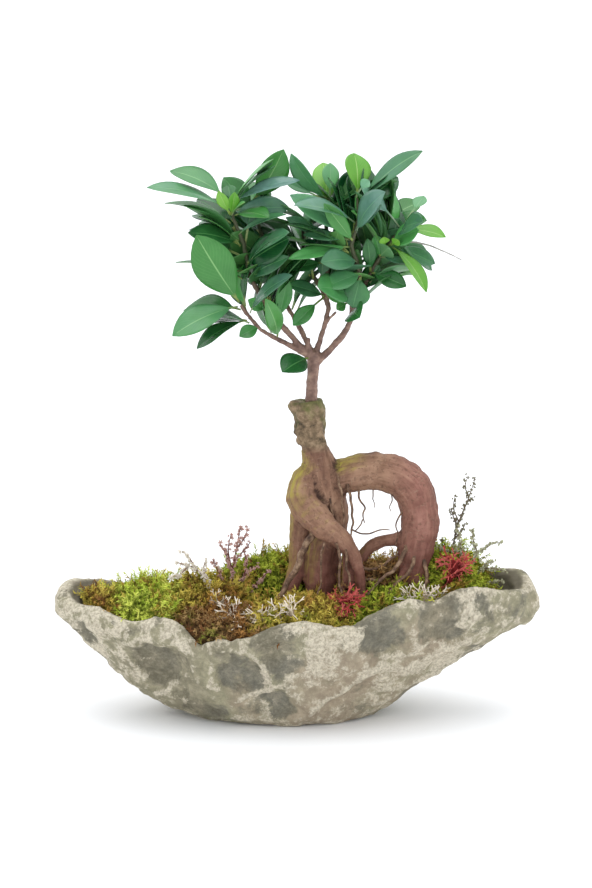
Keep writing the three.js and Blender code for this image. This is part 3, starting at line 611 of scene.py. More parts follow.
bark, shader, add, link = new_material("root_bark", 0.72, 0.3)
object_place = add("ShaderNodeTexCoord").outputs["Object"]
along = marked(add, "grain", "Vector")
ridge = marked(add, "ridge")
stump_part = marked(add, "stump")
fibre_place = add("ShaderNodeMapping", Vector=along, Scale=(1.0, 1.0, 0.12))
ring_place = add("ShaderNodeMapping", Vector=along, Scale=(0.35, 0.35, 2.2))
fibres = noisy(add, fibre_place.outputs[0], 420.0, 6.0, 0.65)
rings = noisy(add, ring_place.outputs[0], 330.0, 3.0, 0.6)
blotches = noisy(add, object_place, 38.0, 5.0, 0.6)
specks = noisy(add, object_place, 500.0, 2.0, 0.5)
brown_skin = ramp(add, blotches,
    [(0.34, (0.11, 0.045, 0.026)), (0.5, (0.26, 0.14, 0.083)), (0.62, (0.42, 0.25, 0.155))])
red_skin = ramp(add, blotches,
    [(0.34, (0.12, 0.034, 0.025)), (0.5, (0.3, 0.12, 0.092)), (0.62, (0.43, 0.2, 0.155))])
reddened = marked(add, "reddened")
skin = mix(add, reddened, brown_skin, red_skin)
fibred = mix(add, 0.36, skin,
    ramp(add, fibres, [(0.3, (0.055, 0.022, 0.015)), (0.5, (0.22, 0.115, 0.08)), (0.7, (0.4, 0.25, 0.17))]))
ringed = mix(add, ramp(add, rings, [(0.6, 0), (0.68, 0.45)]), fibred, (0.34, 0.22, 0.15))
# Painted shade: the hollows of the fine wrinkles are painted darker.
hollow = scaled(add, ridge, -0.9, -0.05, clamp=True)
dotted = mix(add, ramp(add, specks, [(0.58, 0), (0.66, 0.55)]), ringed, (0.12, 0.06, 0.04))
wrinkle_shaded_skin = mix(add, hollow, dotted, (0.05, 0.022, 0.015))
# Painted shade in the deep folds where the roots meet.
crevice = marked(add, "crevice")
crevice_shaded = mix(add, scaled(add, crevice, 0.85), wrinkle_shaded_skin, (0.045, 0.02, 0.013))
# Partly algae, partly a painted highlight on the faces that turn up and to the left.
algae = marked(add, "algae")
algae_and_highlight = scaled(add, algae, ramp(add, fibres, [(0.38, 0.2), (0.6, 1)]), clamp=True)
shaded = mix(add, algae_and_highlight, crevice_shaded, (0.36, 0.29, 0.055))
height = add("ShaderNodeSeparateXYZ", Vector=object_place).outputs["Z"]
upward = spanned(add, height, 0.16, 0.09, 0.0, 0.5)
lower = mix(add, upward, shaded, (0.15, 0.05, 0.035))
crust = ramp(add, noisy(add, object_place, 160.0, 6.0, 0.7),
             [(0.36, (0.06, 0.042, 0.024)), (0.5, (0.19, 0.13, 0.075)), (0.64, (0.34, 0.24, 0.15))])
moss_stain = ramp(add, blotches, [(0.52, 0), (0.62, 0.6)])
greened = mix(add, moss_stain, crust, (0.13, 0.15, 0.035))
barked = mix(add, stump_part, lower, greened)
link(barked, shader.inputs["Base Color"])
furrow = bump(add, fibres, 0.4, 0.0009)
scar = bump(add, rings, 0.35, 0.0006, furrow)
pore = bump(add, specks, 0.3, 0.0003, scar)
link(pore, shader.inputs["Normal"])
roots.data.materials.append(bark)
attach(roots, "root")
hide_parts("rootstock")

# ------------------------------------------------------------------------------------------ shoot
# The shoot that was grafted on the stump: a stem, and twigs that fork from it and carry the leaves. Smooth
# grey-brown bark with a ring at every old leaf scar.

SHOOT_VOXEL = 0.0007

shoot = skinned("grafted_shoot", "grafted_twigs", SHOOT_VOXEL, 2)
places, normals = points_of(shoot.data)
move_points(shoot.data,
    places + normals * (0.0004 * noise_at(places, 320, 2) + 0.0003 * noise_at(places, 110, 2, 6.0))[:, None])
store(shoot.data, "ridge", ridges(shoot.data, 6, 0.0003))
twig_bark, shader, add, link = new_material("shoot_bark", 0.62)
object_place = add("ShaderNodeTexCoord").outputs["Object"]
scar_place = add("ShaderNodeMapping", Vector=object_place, Scale=(0.6, 0.6, 2.6))
scars = noisy(add, scar_place.outputs[0], 260.0, 4.0, 0.6)
mottle = noisy(add, object_place, 140.0, 5.0, 0.6)
twig_colour = ramp(add, mottle,
    [(0.3, (0.09, 0.045, 0.035)), (0.5, (0.21, 0.12, 0.09)), (0.7, (0.36, 0.23, 0.17))])
scarred = mix(add, ramp(add, scars, [(0.55, 0), (0.7, 0.7)]), twig_colour, (0.12, 0.07, 0.055))
tall = add("ShaderNodeSeparateXYZ", Vector=object_place).outputs["Z"]
fresh = spanned(add, tall, 0.29, 0.325, 0.0, 0.85)
greening = mix(add, fresh, scarred, (0.035, 0.06, 0.018))
link(greening, shader.inputs["Base Color"])
rings_bump = bump(add, scars, 0.5, 0.0005)
link(rings_bump, shader.inputs["Normal"])
shoot.data.materials.append(twig_bark)
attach(shoot, "root")
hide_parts("grafted_shoot")

# ------------------------------------------------------------------------------------------ leaves
# Thick, leathery fig leaves on short petioles: dark and glossy above with a pale midrib, lighter and duller
# below, and lime green while they are young; that lime green is also painted light, for light shining through
# the thin blades from behind. They grow in spirals at the twigs' ends.

LEAF_SKIN = 0.00045
LEAF_ROWS = 14
LEAF_COLUMNS = 8
PETIOLE_SHARE = 0.12
PETIOLE_RADIUS = 0.00075
# Painted sheen: a pale bluish cast painted on some blades, for the reflection of the white room on their
# glossy tops.
LEAF_SHEEN_COOL = (0.15, 0.29, 0.32)
LEAF_SHEEN_PALE = (0.26, 0.42, 0.37)
# How much painted sheen each of the larger leaves has.
PAINTED_SHEENS = {
    "leaf_01": 0.2, "leaf_08": 0.35, "leaf_09": 0.15, "leaf_11": 0.7, "leaf_14": 0.2, "leaf_15": 0.25,
    "leaf_21": 0.2, "leaf_24": 0.25, "leaf_25": 0.5, "leaf_26": 0.6, "leaf_30": 0.25, "leaf_32": 0.1,
    "leaf_34": 0.1,
}


def leaf_shape(base, tip, up, width, wave=0.0, fold=0.1, bow=0.09, twist=0.0, kind=0.0, bloom=0.0,
    stalk=PETIOLE_SHARE):
    """A leaf's points, faces, face materials and corner values (across, along), closed all round."""
    axis = tip - base
    length = axis.length
    axis.normalize()
    up = (up - up.dot(axis) * axis).normalized()
    across = axis.cross(up)
    points, marks = [], []
    for row in range(LEAF_ROWS + 1):
        t = row / LEAF_ROWS
        if t < PETIOLE_SHARE:
            t = t * stalk / PETIOLE_SHARE
        else:
            t = stalk + (t - PETIOLE_SHARE) * (1 - stalk) / (1 - PETIOLE_SHARE)
        blade = max(0.0, (t - stalk) / (1 - stalk))
        half = width / 2 * max(0.0, math.sin(math.pi * blade ** 1.16)) ** 0.66 * (1 - 0.2 * blade ** 8)
        half = max(half, PETIOLE_RADIUS if t < 0.5 else 0.0004)
        turn = twist * (t - 0.4)
        right = across * math.cos(turn) + up * math.sin(turn)
        high = up * math.cos(turn) - across * math.sin(turn)
        middle = base + axis * (length * t) + up * (4 * bow * length * t * (1 - t))
        for column in range(LEAF_COLUMNS + 1):
            s = 2 * column / LEAF_COLUMNS - 1
            lift = fold * half * abs(s) ** 1.4 * (1 if blade else 0)
            lift += wave * width * math.sin(9 * t + 2.5 * s) * s * s * blade * (1 - blade) * 2
            crease = -0.0004 * max(0.0, 1 - abs(s) * 5) * (1 if blade > 0.02 else 0)
            points.append(middle + right * (half * s) + high * (lift + crease))
            marks.append((s, 0.12 + 0.88 * blade if blade else 0.05))
    count = len(points)
    body = []
    for i, point in enumerate(points):
        s, t = marks[i]
        rim_here = abs(s) > 0.99 or t > 0.999
        thick = LEAF_SKIN if not rim_here else 0.00012
        if t <= 0.1201:
            thick = PETIOLE_RADIUS * 1.2 * (1 - 0.75 * s * s)
        body.append(point - up * thick)
    points += body
    marks += marks
    faces, slots = [], []
    stride = LEAF_COLUMNS + 1
    for row in range(LEAF_ROWS):
        for column in range(LEAF_COLUMNS):
            a = row * stride + column
            quad = (a, a + 1, a + 1 + stride, a + stride)
            faces.append(quad)
            slots.append(0)
            faces.append(tuple(i + count for i in reversed(quad)))
            slots.append(1)
    for row in range(LEAF_ROWS):
        a = row * stride
        faces.append((a + stride, a + stride + count, a + count, a)[::-1])
        slots.append(1)
        a += LEAF_COLUMNS
        faces.append((a, a + count, a + stride + count, a + stride)[::-1])
        slots.append(1)
    for column in range(LEAF_COLUMNS):
        a = column
        faces.append((a, a + count, a + 1 + count, a + 1))
        slots.append(1)
        a = LEAF_ROWS * stride + column
        faces.append((a + 1, a + 1 + count, a + count, a))
        slots.append(1)
    return points, faces, slots, marks, [kind] * len(points), [bloom] * len(points)


def leaf_object(name, shapes, materials):
    """One object of one or more leaves, with their leaf places as a UV map and a tone for each leaf."""
    points, faces, slots, marks, tones, painted_sheens = [], [], [], [], [], []
    for shape in shapes:
        start = len(points)
        points += shape[0]
        faces += [tuple(i + start for i in face) for face in shape[1]]
        slots += shape[2]
        marks += shape[3]
        tones += shape[4]
        painted_sheens += shape[5]
    mesh = bpy.data.meshes.new(name)
    mesh.from_pydata(points, [], faces)
    mesh.polygons.foreach_set("material_index", slots)
    mesh.polygons.foreach_set("use_smooth", [True] * len(faces))
    layer = mesh.uv_layers.new(name="leaf_place")
    for loop in mesh.loops:
        s, t = marks[loop.vertex_index]
        layer.data[loop.index].uv = (0.5 + 0.5 * s, t)
    store(mesh, "tone", tones)
    store(mesh, "bloom", painted_sheens)
    for material in materials:
        mesh.materials.append(material)
    surface = bmesh.new()
    surface.from_mesh(mesh)
    bmesh.ops.recalc_face_normals(surface, faces=surface.faces)
    surface.to_mesh(mesh)
    surface.free()
    return placed(name, mesh)


def leaf_material(name, dark, light, rib, roughness, vein_depth):
    """Leaf skin: two greens in clouds, a pale midrib and fine side veins that slant to the edge."""
    material, shader, add, link = new_material(name, roughness, 0.45)
    place = add("ShaderNodeUVMap", {"uv_map": "leaf_place"}).outputs["UV"]
    object_place = add("ShaderNodeTexCoord").outputs["Object"]
    parts = add("ShaderNodeSeparateXYZ", Vector=place)
    centred = add("ShaderNodeMath", {"operation": "SUBTRACT"}, i0=parts.outputs["X"], i1=0.5)
    sideways = add("ShaderNodeMath", {"operation": "ABSOLUTE"}, i0=centred.outputs[0])
    midrib = spanned(add, sideways.outputs[0], 0.026, 0.006, 0.0, 0.75, "SMOOTHSTEP")
    slant = scaled(add, sideways.outputs[0], -0.7, parts.outputs["Y"])
    turns = scaled(add, slant, 95.0)
    waves = add("ShaderNodeMath", {"operation": "SINE"}, i0=turns)
    veins = spanned(add, waves.outputs[0], 0.7, 1.0, 0.0, 0.09)
    tone = marked(add, "tone")
    clouds = noisy(add, object_place, 70.0, 4.0, 0.6)
    shade = scaled(add, clouds, 0.5, tone)
    greens = ramp(add, shade, [(0.15, dark), (1.0, light)])
    veined = mix(add, veins, greens, rib)
    ribbed = mix(add, midrib, veined, rib)
    petiole = spanned(add, parts.outputs["Y"], 0.15, 0.08, 0.0, 0.8)
    stalked = mix(add, petiole, ribbed, (0.3, 0.36, 0.1))
    # Painted sheen: a pale bluish cast over the blade, standing in for the room's reflection.
    bloom = marked(add, "bloom")
    sheen_noise = noisy(add, object_place, 55.0, 3.0, 0.6)
    sheen_patches = ramp(add, sheen_noise, [(0.3, 0.45), (0.65, 1)])
    sheen_share = scaled(add, bloom, sheen_patches, clamp=True)
    pale = mix(add, clouds, LEAF_SHEEN_COOL, LEAF_SHEEN_PALE)
    link(mix(add, sheen_share, stalked, pale), shader.inputs["Base Color"])
    fine = noisy(add, object_place, 900.0, 2.0)
    ribs = bump(add, veins, vein_depth, 0.0006, invert=True)
    skin_bump = bump(add, fine, 0.08, 0.0002, ribs)
    link(skin_bump, shader.inputs["Normal"])
    return material


leaf_above = {
    "mature": leaf_material(
        "leaf_mature_above", (0.004, 0.06, 0.016), (0.09, 0.37, 0.08), (0.11, 0.33, 0.1), 0.26, 0.4,
    ),
    "light": leaf_material(
        "leaf_light_above", (0.012, 0.12, 0.014), (0.1, 0.36, 0.08), (0.25, 0.5, 0.18), 0.3, 0.4,
    ),
    # Young leaves: their own lime green, partly painted light too, standing in for light shining through the
    # blades from behind.
    "young": leaf_material(
        "leaf_young_above", (0.06, 0.28, 0.006), (0.26, 0.55, 0.08), (0.4, 0.62, 0.2), 0.38, 0.4,
    ),
}
leaf_below = {
    "mature": leaf_material(
        "leaf_mature_below", (0.03, 0.13, 0.03), (0.1, 0.28, 0.07), (0.2, 0.38, 0.13), 0.5, -0.6,
    ),
    "light": leaf_material(
        "leaf_light_below", (0.06, 0.22, 0.03), (0.2, 0.42, 0.09), (0.35, 0.52, 0.2), 0.5, -0.6,
    ),
    "young": leaf_material(
        "leaf_young_below", (0.16, 0.4, 0.03), (0.4, 0.62, 0.16), (0.5, 0.68, 0.3), 0.5, -0.5,
    ),
}
slot_of = {entry["node"]: entry["material_slot"] for entry in frame["record"]["subparts"]}
leaf_nodes = sorted(name for name in frame["nodes"] if name.startswith("leaf_"))
leaf_dice = random.Random(5)
leaf_lines = []


def read_leaf(node):
    """Where a solid leaf's petiole starts, its tip, which way it faces and how wide it is."""
    spots = np.unique(np.round(np.array([v.co for v in frame["nodes"][node].data.vertices]), 6), axis=0)
    middle = spots.mean(axis=0)
    _, _, axes = np.linalg.svd(spots - middle)
    along = (spots - middle) @ axes[0]
    sideways = (spots - middle) @ axes[1]
    span = along.max() - along.min()
    low = np.ptp(sideways[along < along.min() + 0.14 * span])
    high = np.ptp(sideways[along > along.max() - 0.14 * span])
    if low > high:
        along = -along
    base = spots[along < along.min() + 0.01 * span].mean(axis=0)
    tip = spots[np.argmax(along)]
    centre = spots[(along > along.min() + 0.3 * span) & (along < along.max() - 0.3 * span)].mean(axis=0)
    up = Vector(axes[2])
    if (Vector(centre) - (Vector(base) + Vector(tip)) / 2).dot(up) < 0:
        up.negate()
    return Vector(base), Vector(tip), up, np.ptp(sideways)


for node in leaf_nodes:
    base, tip, up, width = read_leaf(node)
    slot = slot_of[node]
    tone = slot.removeprefix("leaf_")
    shape = leaf_shape(
        base, base.lerp(tip, 1.07), up, width, wave=leaf_dice.uniform(-0.05, 0.05),
        fold=leaf_dice.uniform(0.04, 0.18), bow=0.09, twist=leaf_dice.uniform(-0.25, 0.25),
        kind=leaf_dice.uniform(0.0, 0.4), bloom=PAINTED_SHEENS.get(node, 0.0),
    )
    blade = leaf_object(f"blade_{node[5:]}", [shape], [leaf_above[tone], leaf_below[tone]])
    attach(blade, "root")
    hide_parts(node)
    leaf_lines.append((base, tip))

# The twigs' lines, in millimetres from the planting point.
TWIG_LINES = {
    "left_low": [
        (12, 0, 172), (-3, -3, 181), (-14, -5, 187), (-24, -7, 193), (-32, -8, 202), (-38, -9, 211),
    ],
    "left_top": [
        (11, 0, 174), (1, -1, 183), (-11, -1, 197), (-22, -2, 211), (-32, -2, 230), (-36, -2, 252),
        (-43, -2, 270), (-46.5, -2, 284),
    ],
    "left_back": [(12, 1, 174), (4, 6, 190), (-7, 13, 208), (-13, 18, 232), (-24, 22, 256), (-31, 20, 278)],
    "centre_back": [(22.7, 3, 207), (18, 9, 219), (10, 15, 231), (5, 19, 247), (5, 22, 264)],
    "middle": [
        (13, 0, 172), (16, 1, 182), (20, 2, 195), (22.7, 3, 207), (20, 5, 222), (24, 7, 243), (21, 8, 263),
        (24, 8, 280),
    ],
    "right": [
        (13, 0, 168), (23.5, 0, 178), (32.5, 1, 188), (38.5, 1, 199), (39, -2, 213), (44, -5, 232),
        (38, -7, 252), (43, -8, 270), (42, -6, 285),
    ],
    "right_end": [(38.5, 1, 199), (45, 4, 217), (52, 4, 232), (60, 3, 246), (67, 1, 256), (73, 0, 262)],
    "right_back": [(39, 1, 201), (45, 11, 221), (51, 21, 238), (57, 28, 254), (62, 30, 266)],
}
twig_lines = {name: spline_points([on_tree(*row) for row in rows], 5) for name, rows in TWIG_LINES.items()}
MILLIMETRE = on_tree(0, 0, 1).z - on_tree(0, 0, 0).z

# Leaves between the larger ones: where the blade starts and ends in millimetres from the planting point, its
# width, which way it faces, and its skin, how light it is and how much painted sheen it has.
INNER_LEAVES = [
    ((-37, 4, 279), (-47, 10, 292), 10, (0, -1, 0.4), "mature", 0.0, 0.1),
    ((-49, -4, 270), (-53, -10, 290), 8, (-0.3, -1, 0.2), "young", 0.3, 0),
    ((-47, -4, 271), (-42, -8, 289), 8, (0.3, -1, 0.2), "young", 0.0, 0),
    ((-46, -6, 272), (-35, -14, 283), 7, (0, -0.6, 1), "light", 0.9, 0.3),
    ((-39, 0, 276), (-5, 6, 277), 16, (0, -1, 0.5), "mature", 0.0, 0.75),
    ((-41, -4, 260), (-7, -18, 275), 10, (0, -0.5, 1), "mature", 0.3, 0.5),
    ((-35, -2, 238), (-4, -16, 259), 19, (0, -1, 0.5), "mature", -0.2, 0),
    ((-35, -4, 227), (-5, -20, 246), 13, (0, -1, 0.6), "mature", -0.1, 0.15),
    ((-58, 4, 232), (-70, 8, 230), 7, (0, -0.5, 1), "mature", 0.1, 0.2),
    ((-24, -6, 197), (-39, -14, 190), 10, (0, -1, 0.6), "mature", 0.2, 0),
    ((-23, -4, 201), (-33, -10, 215), 9, (0.2, -1, 0.2), "mature", 0.4, 0),
    ((-9, -2, 202), (-6, -8, 230), 11, (0.2, -1, 0.1), "mature", 0.2, 0),
    ((12, -2, 213), (-2, -10, 197), 11, (-0.4, -1, 0.2), "mature", 0.2, 0),
    ((19, 0, 215), (-5, -6, 225), 13, (0, -0.8, 0.8), "mature", 0.0, 0.25),
    ((16, 2, 241), (-4, -6, 236), 10, (0, -1, 0.6), "mature", -0.1, 0),
    ((33, -6, 250), (-5, -22, 245), 13, (0, -0.7, 1), "mature", 0.6, 0.15),
    ((34, -2, 257), (5, -10, 260), 11, (0, -0.7, 1), "mature", 0.1, 0.4),
    ((33, -6, 260), (-4, -16, 288), 16, (-0.2, -1, 0.8), "mature", 0.3, 0.55),
    ((28, 0, 258), (-7, -4, 271), 9, (0, -1, 0.6), "mature", 0.0, 0.3),
    ((9, 6, 283), (-7, 8, 294), 7, (0, -0.8, 0.8), "mature", 0.1, 0.3),
    ((15, 10, 284), (24, 22, 306), 12, (0.2, -1, 0.1), "light", 0.7, 0.5),
    ((72, 14, 280), (89, 22, 283), 10, (0, -0.6, 1), "light", 0.9, 0.5),
    ((63, -6, 277), (45, -14, 292), 14, (0, -0.7, 1), "mature", 0.2, 0.95),
    ((38, -14, 265), (58, -24, 282), 14, (0, -0.8, 0.9), "mature", 0.0, 0.8),
    ((56, -8, 251), (84, -16, 264), 16, (0, -0.9, 0.7), "mature", 0.7, 0.1),
    ((72, 2, 248), (96, -2, 239), 14, (0, -0.8, 0.8), "mature", 0.0, 0.3),
    ((58, -2, 242), (75, -8, 240), 8, (0, -0.6, 1), "mature", 0.0, 0.5),
    ((52, 0, 233), (76, -8, 224), 13, (0, -1, 0.7), "mature", 0.0, 0),
    ((45, -6, 243), (17, -24, 243), 17, (0, -1, 0.8), "mature", 0.1, 0.45),
    ((45, -6, 232), (20, -22, 225), 15, (0, -1, 0.8), "mature", 0.2, 0.3),
    ((49, -4, 230), (39, -14, 210), 19, (-0.1, -1, 0.2), "mature", 0.1, 0.2),
    ((35, -4, 215), (20, -12, 221), 11, (0, -1, 0.5), "light", 0.3, 0),
    ((33, -2, 213), (28, -8, 208), 7, (0, -1, 0.4), "light", 0.2, 0),
    ((62, -10, 246), (60, -16, 259), 7, (0, -1, 0.3), "young", 0.2, 0),
    ((64, -10, 247), (70, -16, 257), 7, (0.3, -1, 0.3), "young", 0.1, 0),
    ((34, -2, 286), (50, -6, 297), 10, (0, -0.6, 1), "mature", 0.5, 0.8),
    ((50, -2, 232), (49, -8, 257), 10, (0.2, -1, 0.1), "mature", -0.1, 0),
    ((58, 0, 242), (54, -6, 259), 10, (0.2, -1, 0.2), "mature", 0.2, 0),
    ((40, -10, 255), (19, -24, 283), 11, (-0.3, -1, 0.6), "light", 0.2, 0),
    ((23, 4, 249), (15, 0, 263), 12, (0, -1, 0.3), "mature", -0.2, 0),
    ((2, 8, 240), (15, 0, 254), 13, (0, -1, 0.4), "mature", -0.2, 0.1),
    ((-14, 4, 241), (-10, 0, 260), 15, (0, -1, 0.4), "mature", -0.2, 0.1),
    ((-24, 6, 256), (-31, 0, 276), 13, (0, -1, 0.4), "mature", -0.2, 0.2),
    ((39, 6, 240), (29, 2, 268), 15, (0, -1, 0.4), "mature", -0.2, 0.1),
    ((67, 6, 249), (71, 2, 270), 15, (0, -1, 0.4), "mature", 0.0, 0.1),
    ((2, 8, 220), (10, 4, 241), 11, (0, -1, 0.3), "mature", -0.2, 0),
    ((-24, 6, 220), (-19, 2, 241), 13, (0, -1, 0.3), "mature", -0.1, 0),
    ((39, 6, 220), (58, 2, 237), 13, (0, -1, 0.4), "mature", -0.1, 0),
    ((-45, 6, 240), (-58, 6, 252), 13, (0, -1, 0.4), "mature", -0.1, 0),
]
every_twig_point = [point for line in twig_lines.values() for point in line]
inner = {"mature": [], "light": [], "young": []}
for start, end, width, facing, skin, light, bloom in INNER_LEAVES:
    blade_start, tip = on_tree(*start), on_tree(*end)
    twig_point = min(every_twig_point, key=lambda point: (point - blade_start).length)
    base = twig_point + (blade_start - twig_point).normalized() * 1.2 * MILLIMETRE
    stalk = (blade_start - base).length / (tip - base).length
    tip_ahead = (tip - blade_start).length / (tip - base).length
    inner[skin].append(
        leaf_shape(
            base, tip, Vector(facing), width * 1.05 * MILLIMETRE, wave=leaf_dice.uniform(-0.06, 0.06),
            fold=leaf_dice.uniform(0.04, 0.18), bow=leaf_dice.uniform(0.04, 0.09) * tip_ahead,
            twist=leaf_dice.uniform(-0.25, 0.25), kind=light + 0.15, bloom=0.6 * bloom,
            stalk=min(0.6, max(0.08, stalk)),
        ),
    )
    leaf_lines.append((blade_start, tip))
for skin, shapes in inner.items():
    leaves = leaf_object(f"leaves_inner_{skin}", shapes, [leaf_above[skin], leaf_below[skin]])
    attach(leaves, "root")

# The back of the crown: leaves in spirals round each twig, from these shares of its length on, kept within
# the crown's outline as seen from the front and a little above, in millimetres from the planting point.
SPIRALS = {
    "left_low": (8, 0.5), "left_top": (22, 0.4), "left_back": (26, 0.35), "centre_back": (22, 0.2),
    "middle": (22, 0.5), "right": (22, 0.45), "right_end": (16, 0.3), "right_back": (24, 0.25),
}
OUTLINE = [
    (-71, 295), (-50, 288), (-35, 287), (-24, 308), (-11, 315), (-7, 301), (0, 315), (15, 308), (30, 297),
    (37, 309), (54, 309), (62, 304), (83, 311), (69, 294), (69, 283), (90, 273), (83, 262), (93, 236),
    (76, 224), (58, 220), (48, 208), (30, 214), (16, 214), (2, 200), (-8, 205), (-24, 192), (-40, 192),
    (-43, 203), (-57, 190), (-80, 190), (-75, 206), (-43, 215), (-64, 231), (-72, 248), (-73, 259),
    (-82, 273),
]
GAPS = [(2, 287, 9), (1, 259, 7), (8, 222, 7), (-57, 222, 7), (2, 276, 7)]  # open places: middle and radius
SEEN_RISE = 0.21  # how far a point farther back is seen to rise
GOLDEN_ANGLE = math.radians(137.5)
LEAF_APART = 0.0065
LEAF_LENGTHS = (0.034, 0.05)
LEAF_WIDTHS = (0.017, 0.022)
CROWN_FRONT, CROWN_BACK = -0.016, 0.064  # how far the tips of these leaves may reach
planted_at = on_tree(0, 0, 0)


def in_outline(place):
    """Whether a place is seen inside the crown and clear of its gaps."""
    across = (place.x - planted_at.x) / MILLIMETRE
    up = ((place.z - planted_at.z) + SEEN_RISE * (place.y - planted_at.y)) / MILLIMETRE
    if any(math.hypot(across - x, up - z) < radius for x, z, radius in GAPS):
        return False
    inside = False
    for (x0, z0), (x1, z1) in zip(OUTLINE, OUTLINE[1:] + OUTLINE[:1]):
        if (z0 > up) != (z1 > up) and across < x0 + (x1 - x0) * (up - z0) / (z1 - z0):
            inside = not inside
    return inside


for twig_name, (count, start) in SPIRALS.items():
    line = twig_lines[twig_name]
    shapes = []
    for number in range(count * 12):
        if len(shapes) == count:
            break
        share = start + (1 - start) * ((number * 0.618) % 1.0)
        index = min(int(share * (len(line) - 1)), len(line) - 2)
        spot = line[index]
        ahead = (line[index + 1] - spot).normalized()
        side = ahead.cross(Vector((0.1, -0.9, 0.3))).normalized()
        other = ahead.cross(side)
        turn = GOLDEN_ANGLE * number + leaf_dice.uniform(-0.3, 0.3)
        out = side * math.cos(turn) + other * math.sin(turn)
        lean = math.radians(leaf_dice.uniform(45, 85) - 20 * (share - start) / (1 - start))
        heading = ahead * math.cos(lean) + out * math.sin(lean)
        length = leaf_dice.uniform(*LEAF_LENGTHS)
        base = spot + out * 0.0024
        tip = base + heading * length
        from_axis = Vector((spot.x - planted_at.x, spot.y - planted_at.y - 0.01, 0)).normalized()
        up = from_axis * leaf_dice.uniform(0.2,
            0.9) + ahead * 0.3 + Vector((0, 0.2, leaf_dice.uniform(0.3, 0.9)))
        middle = base.lerp(tip, 0.6)
        crowded = any(
            (middle - other_base.lerp(other_tip,
            0.6)).length < LEAF_APART or (tip - other_tip).length < LEAF_APART
            for other_base, other_tip in leaf_lines
        )
        half_across = (tip - base).cross(up).normalized() * 0.008
        shown = (tip, middle + half_across, middle - half_across)
        if crowded or not CROWN_FRONT <= tip.y <= CROWN_BACK or not all(in_outline(place) for place in shown):
            continue
        leaf_lines.append((base, tip))
        shapes.append(
            leaf_shape(
                base, tip, up, leaf_dice.uniform(*LEAF_WIDTHS), wave=leaf_dice.uniform(-0.06, 0.06),
                fold=leaf_dice.uniform(0.04, 0.2), bow=leaf_dice.uniform(0.05, 0.11),
                twist=leaf_dice.uniform(-0.4, 0.4), kind=leaf_dice.choice((-0.15, 0.0, 0.2, 0.4, 0.7)),
                bloom=leaf_dice.choice((0, 0, 0, 0.2)),
            ),
        )
    leaves = leaf_object(f"leaves_{twig_name}", shapes, [leaf_above["mature"], leaf_below["mature"]])
    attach(leaves, "root")

# ------------------------------------------------------------------------------------------ moss
# Living moss in cushions, laid over the soil and pressed together: every cushion is a springy mass of
# short branching stems, green where it grows and golden or brown where it has dried.

FROND_LENGTH = 0.0062
FROND_DENSITY = 230000.0  # stems over a square metre
STRAND_DENSITY = 80000.0
MOSS_VOXEL = 0.0024
TINT_SEED = 77
MOSS_LOOKS = {
    "moss_green": ((0.05, 0.07, 0.006), (0.36, 0.46, 0.02), (0.72, 0.8, 0.1), 0.4),
    "moss_gold": ((0.09, 0.06, 0.008), (0.6, 0.42, 0.045), (0.95, 0.8, 0.16), 0.52),
    "moss_brown": ((0.06, 0.025, 0.01), (0.36, 0.15, 0.06), (0.6, 0.4, 0.16), 0.55),
    "moss_left": ((0.1, 0.13, 0.01), (0.55, 0.8, 0.03), (0.95, 0.98, 0.2), 0.42),
}


def prototype(name, points, faces, tips):
    """A small shape to be scattered, with how near each point is to its tip."""
    mesh = bpy.data.meshes.new(name)
    mesh.from_pydata(points, [], faces)
    store(mesh, "tip", tips)
    return placed(name, mesh)


def frond(name, length, width, leaflets, curl, seed):
    """A moss stem with small pointed leaflets on both sides, as thin three-sided spikes."""
    dice = random.Random(seed)
    points, faces, tips = [], [], []

    def spike(foot, heading, long, wide, low, high):
        side = heading.cross(Vector((0.3, 0.2, 1))).normalized() * wide
        back = heading.cross(side).normalized() * wide * 0.7
        start = len(points)
        points.extend([foot + side, foot - side, foot + back, foot + heading * long])
        tips.extend([low, low, low, high])
        faces.extend([(start, start + 1, start + 3), (start + 1, start + 2, start + 3),
            (start + 2, start, start + 3),
                      (start, start + 2, start + 1)])

    bend = Vector((curl, 0, 1)).normalized()
    spike(Vector((0, 0, -0.1 * length)), bend, length * 1.1, width * 0.35, 0.0, 1.0)
    for i in range(leaflets):
        share = 0.25 + 0.7 * i / leaflets
        turn = i * 2.4
        out = Vector((math.cos(turn), math.sin(turn), 0.75 + dice.uniform(-0.2, 0.3))).normalized()
        spike(bend * length * share, out, length * (0.42 - 0.22 * share), width * 0.42, share * 0.7,
            min(1.0, share + 0.35))
    return prototype(name, points, faces, tips)


def geometry_tree(name, inputs):
    """A node tree that ends in geometry: the tree, its inputs' identifiers, an adder, and its inputs."""
    tree = bpy.data.node_groups.new(name, "GeometryNodeTree")
    names = {}
    for label, kind in inputs.items():
        socket = tree.interface.new_socket(label, in_out="INPUT", socket_type=f"NodeSocket{kind}")
        names[label] = socket.identifier
    tree.interface.new_socket("Geometry", in_out="OUTPUT", socket_type="NodeSocketGeometry")
    add = node_adder(tree)
    return tree, names, add, add("NodeGroupInput").outputs


def end_tree(add, pieces, finish):
    """Ends a tree: its pieces joined, with their material."""
    joined = add("GeometryNodeJoinGeometry")
    for piece in pieces:
        joined.id_data.links.new(piece, joined.inputs["Geometry"])
    done = add("GeometryNodeSetMaterial", Geometry=joined.outputs["Geometry"], Material=finish)
    add("NodeGroupOutput", Geometry=done.outputs["Geometry"])


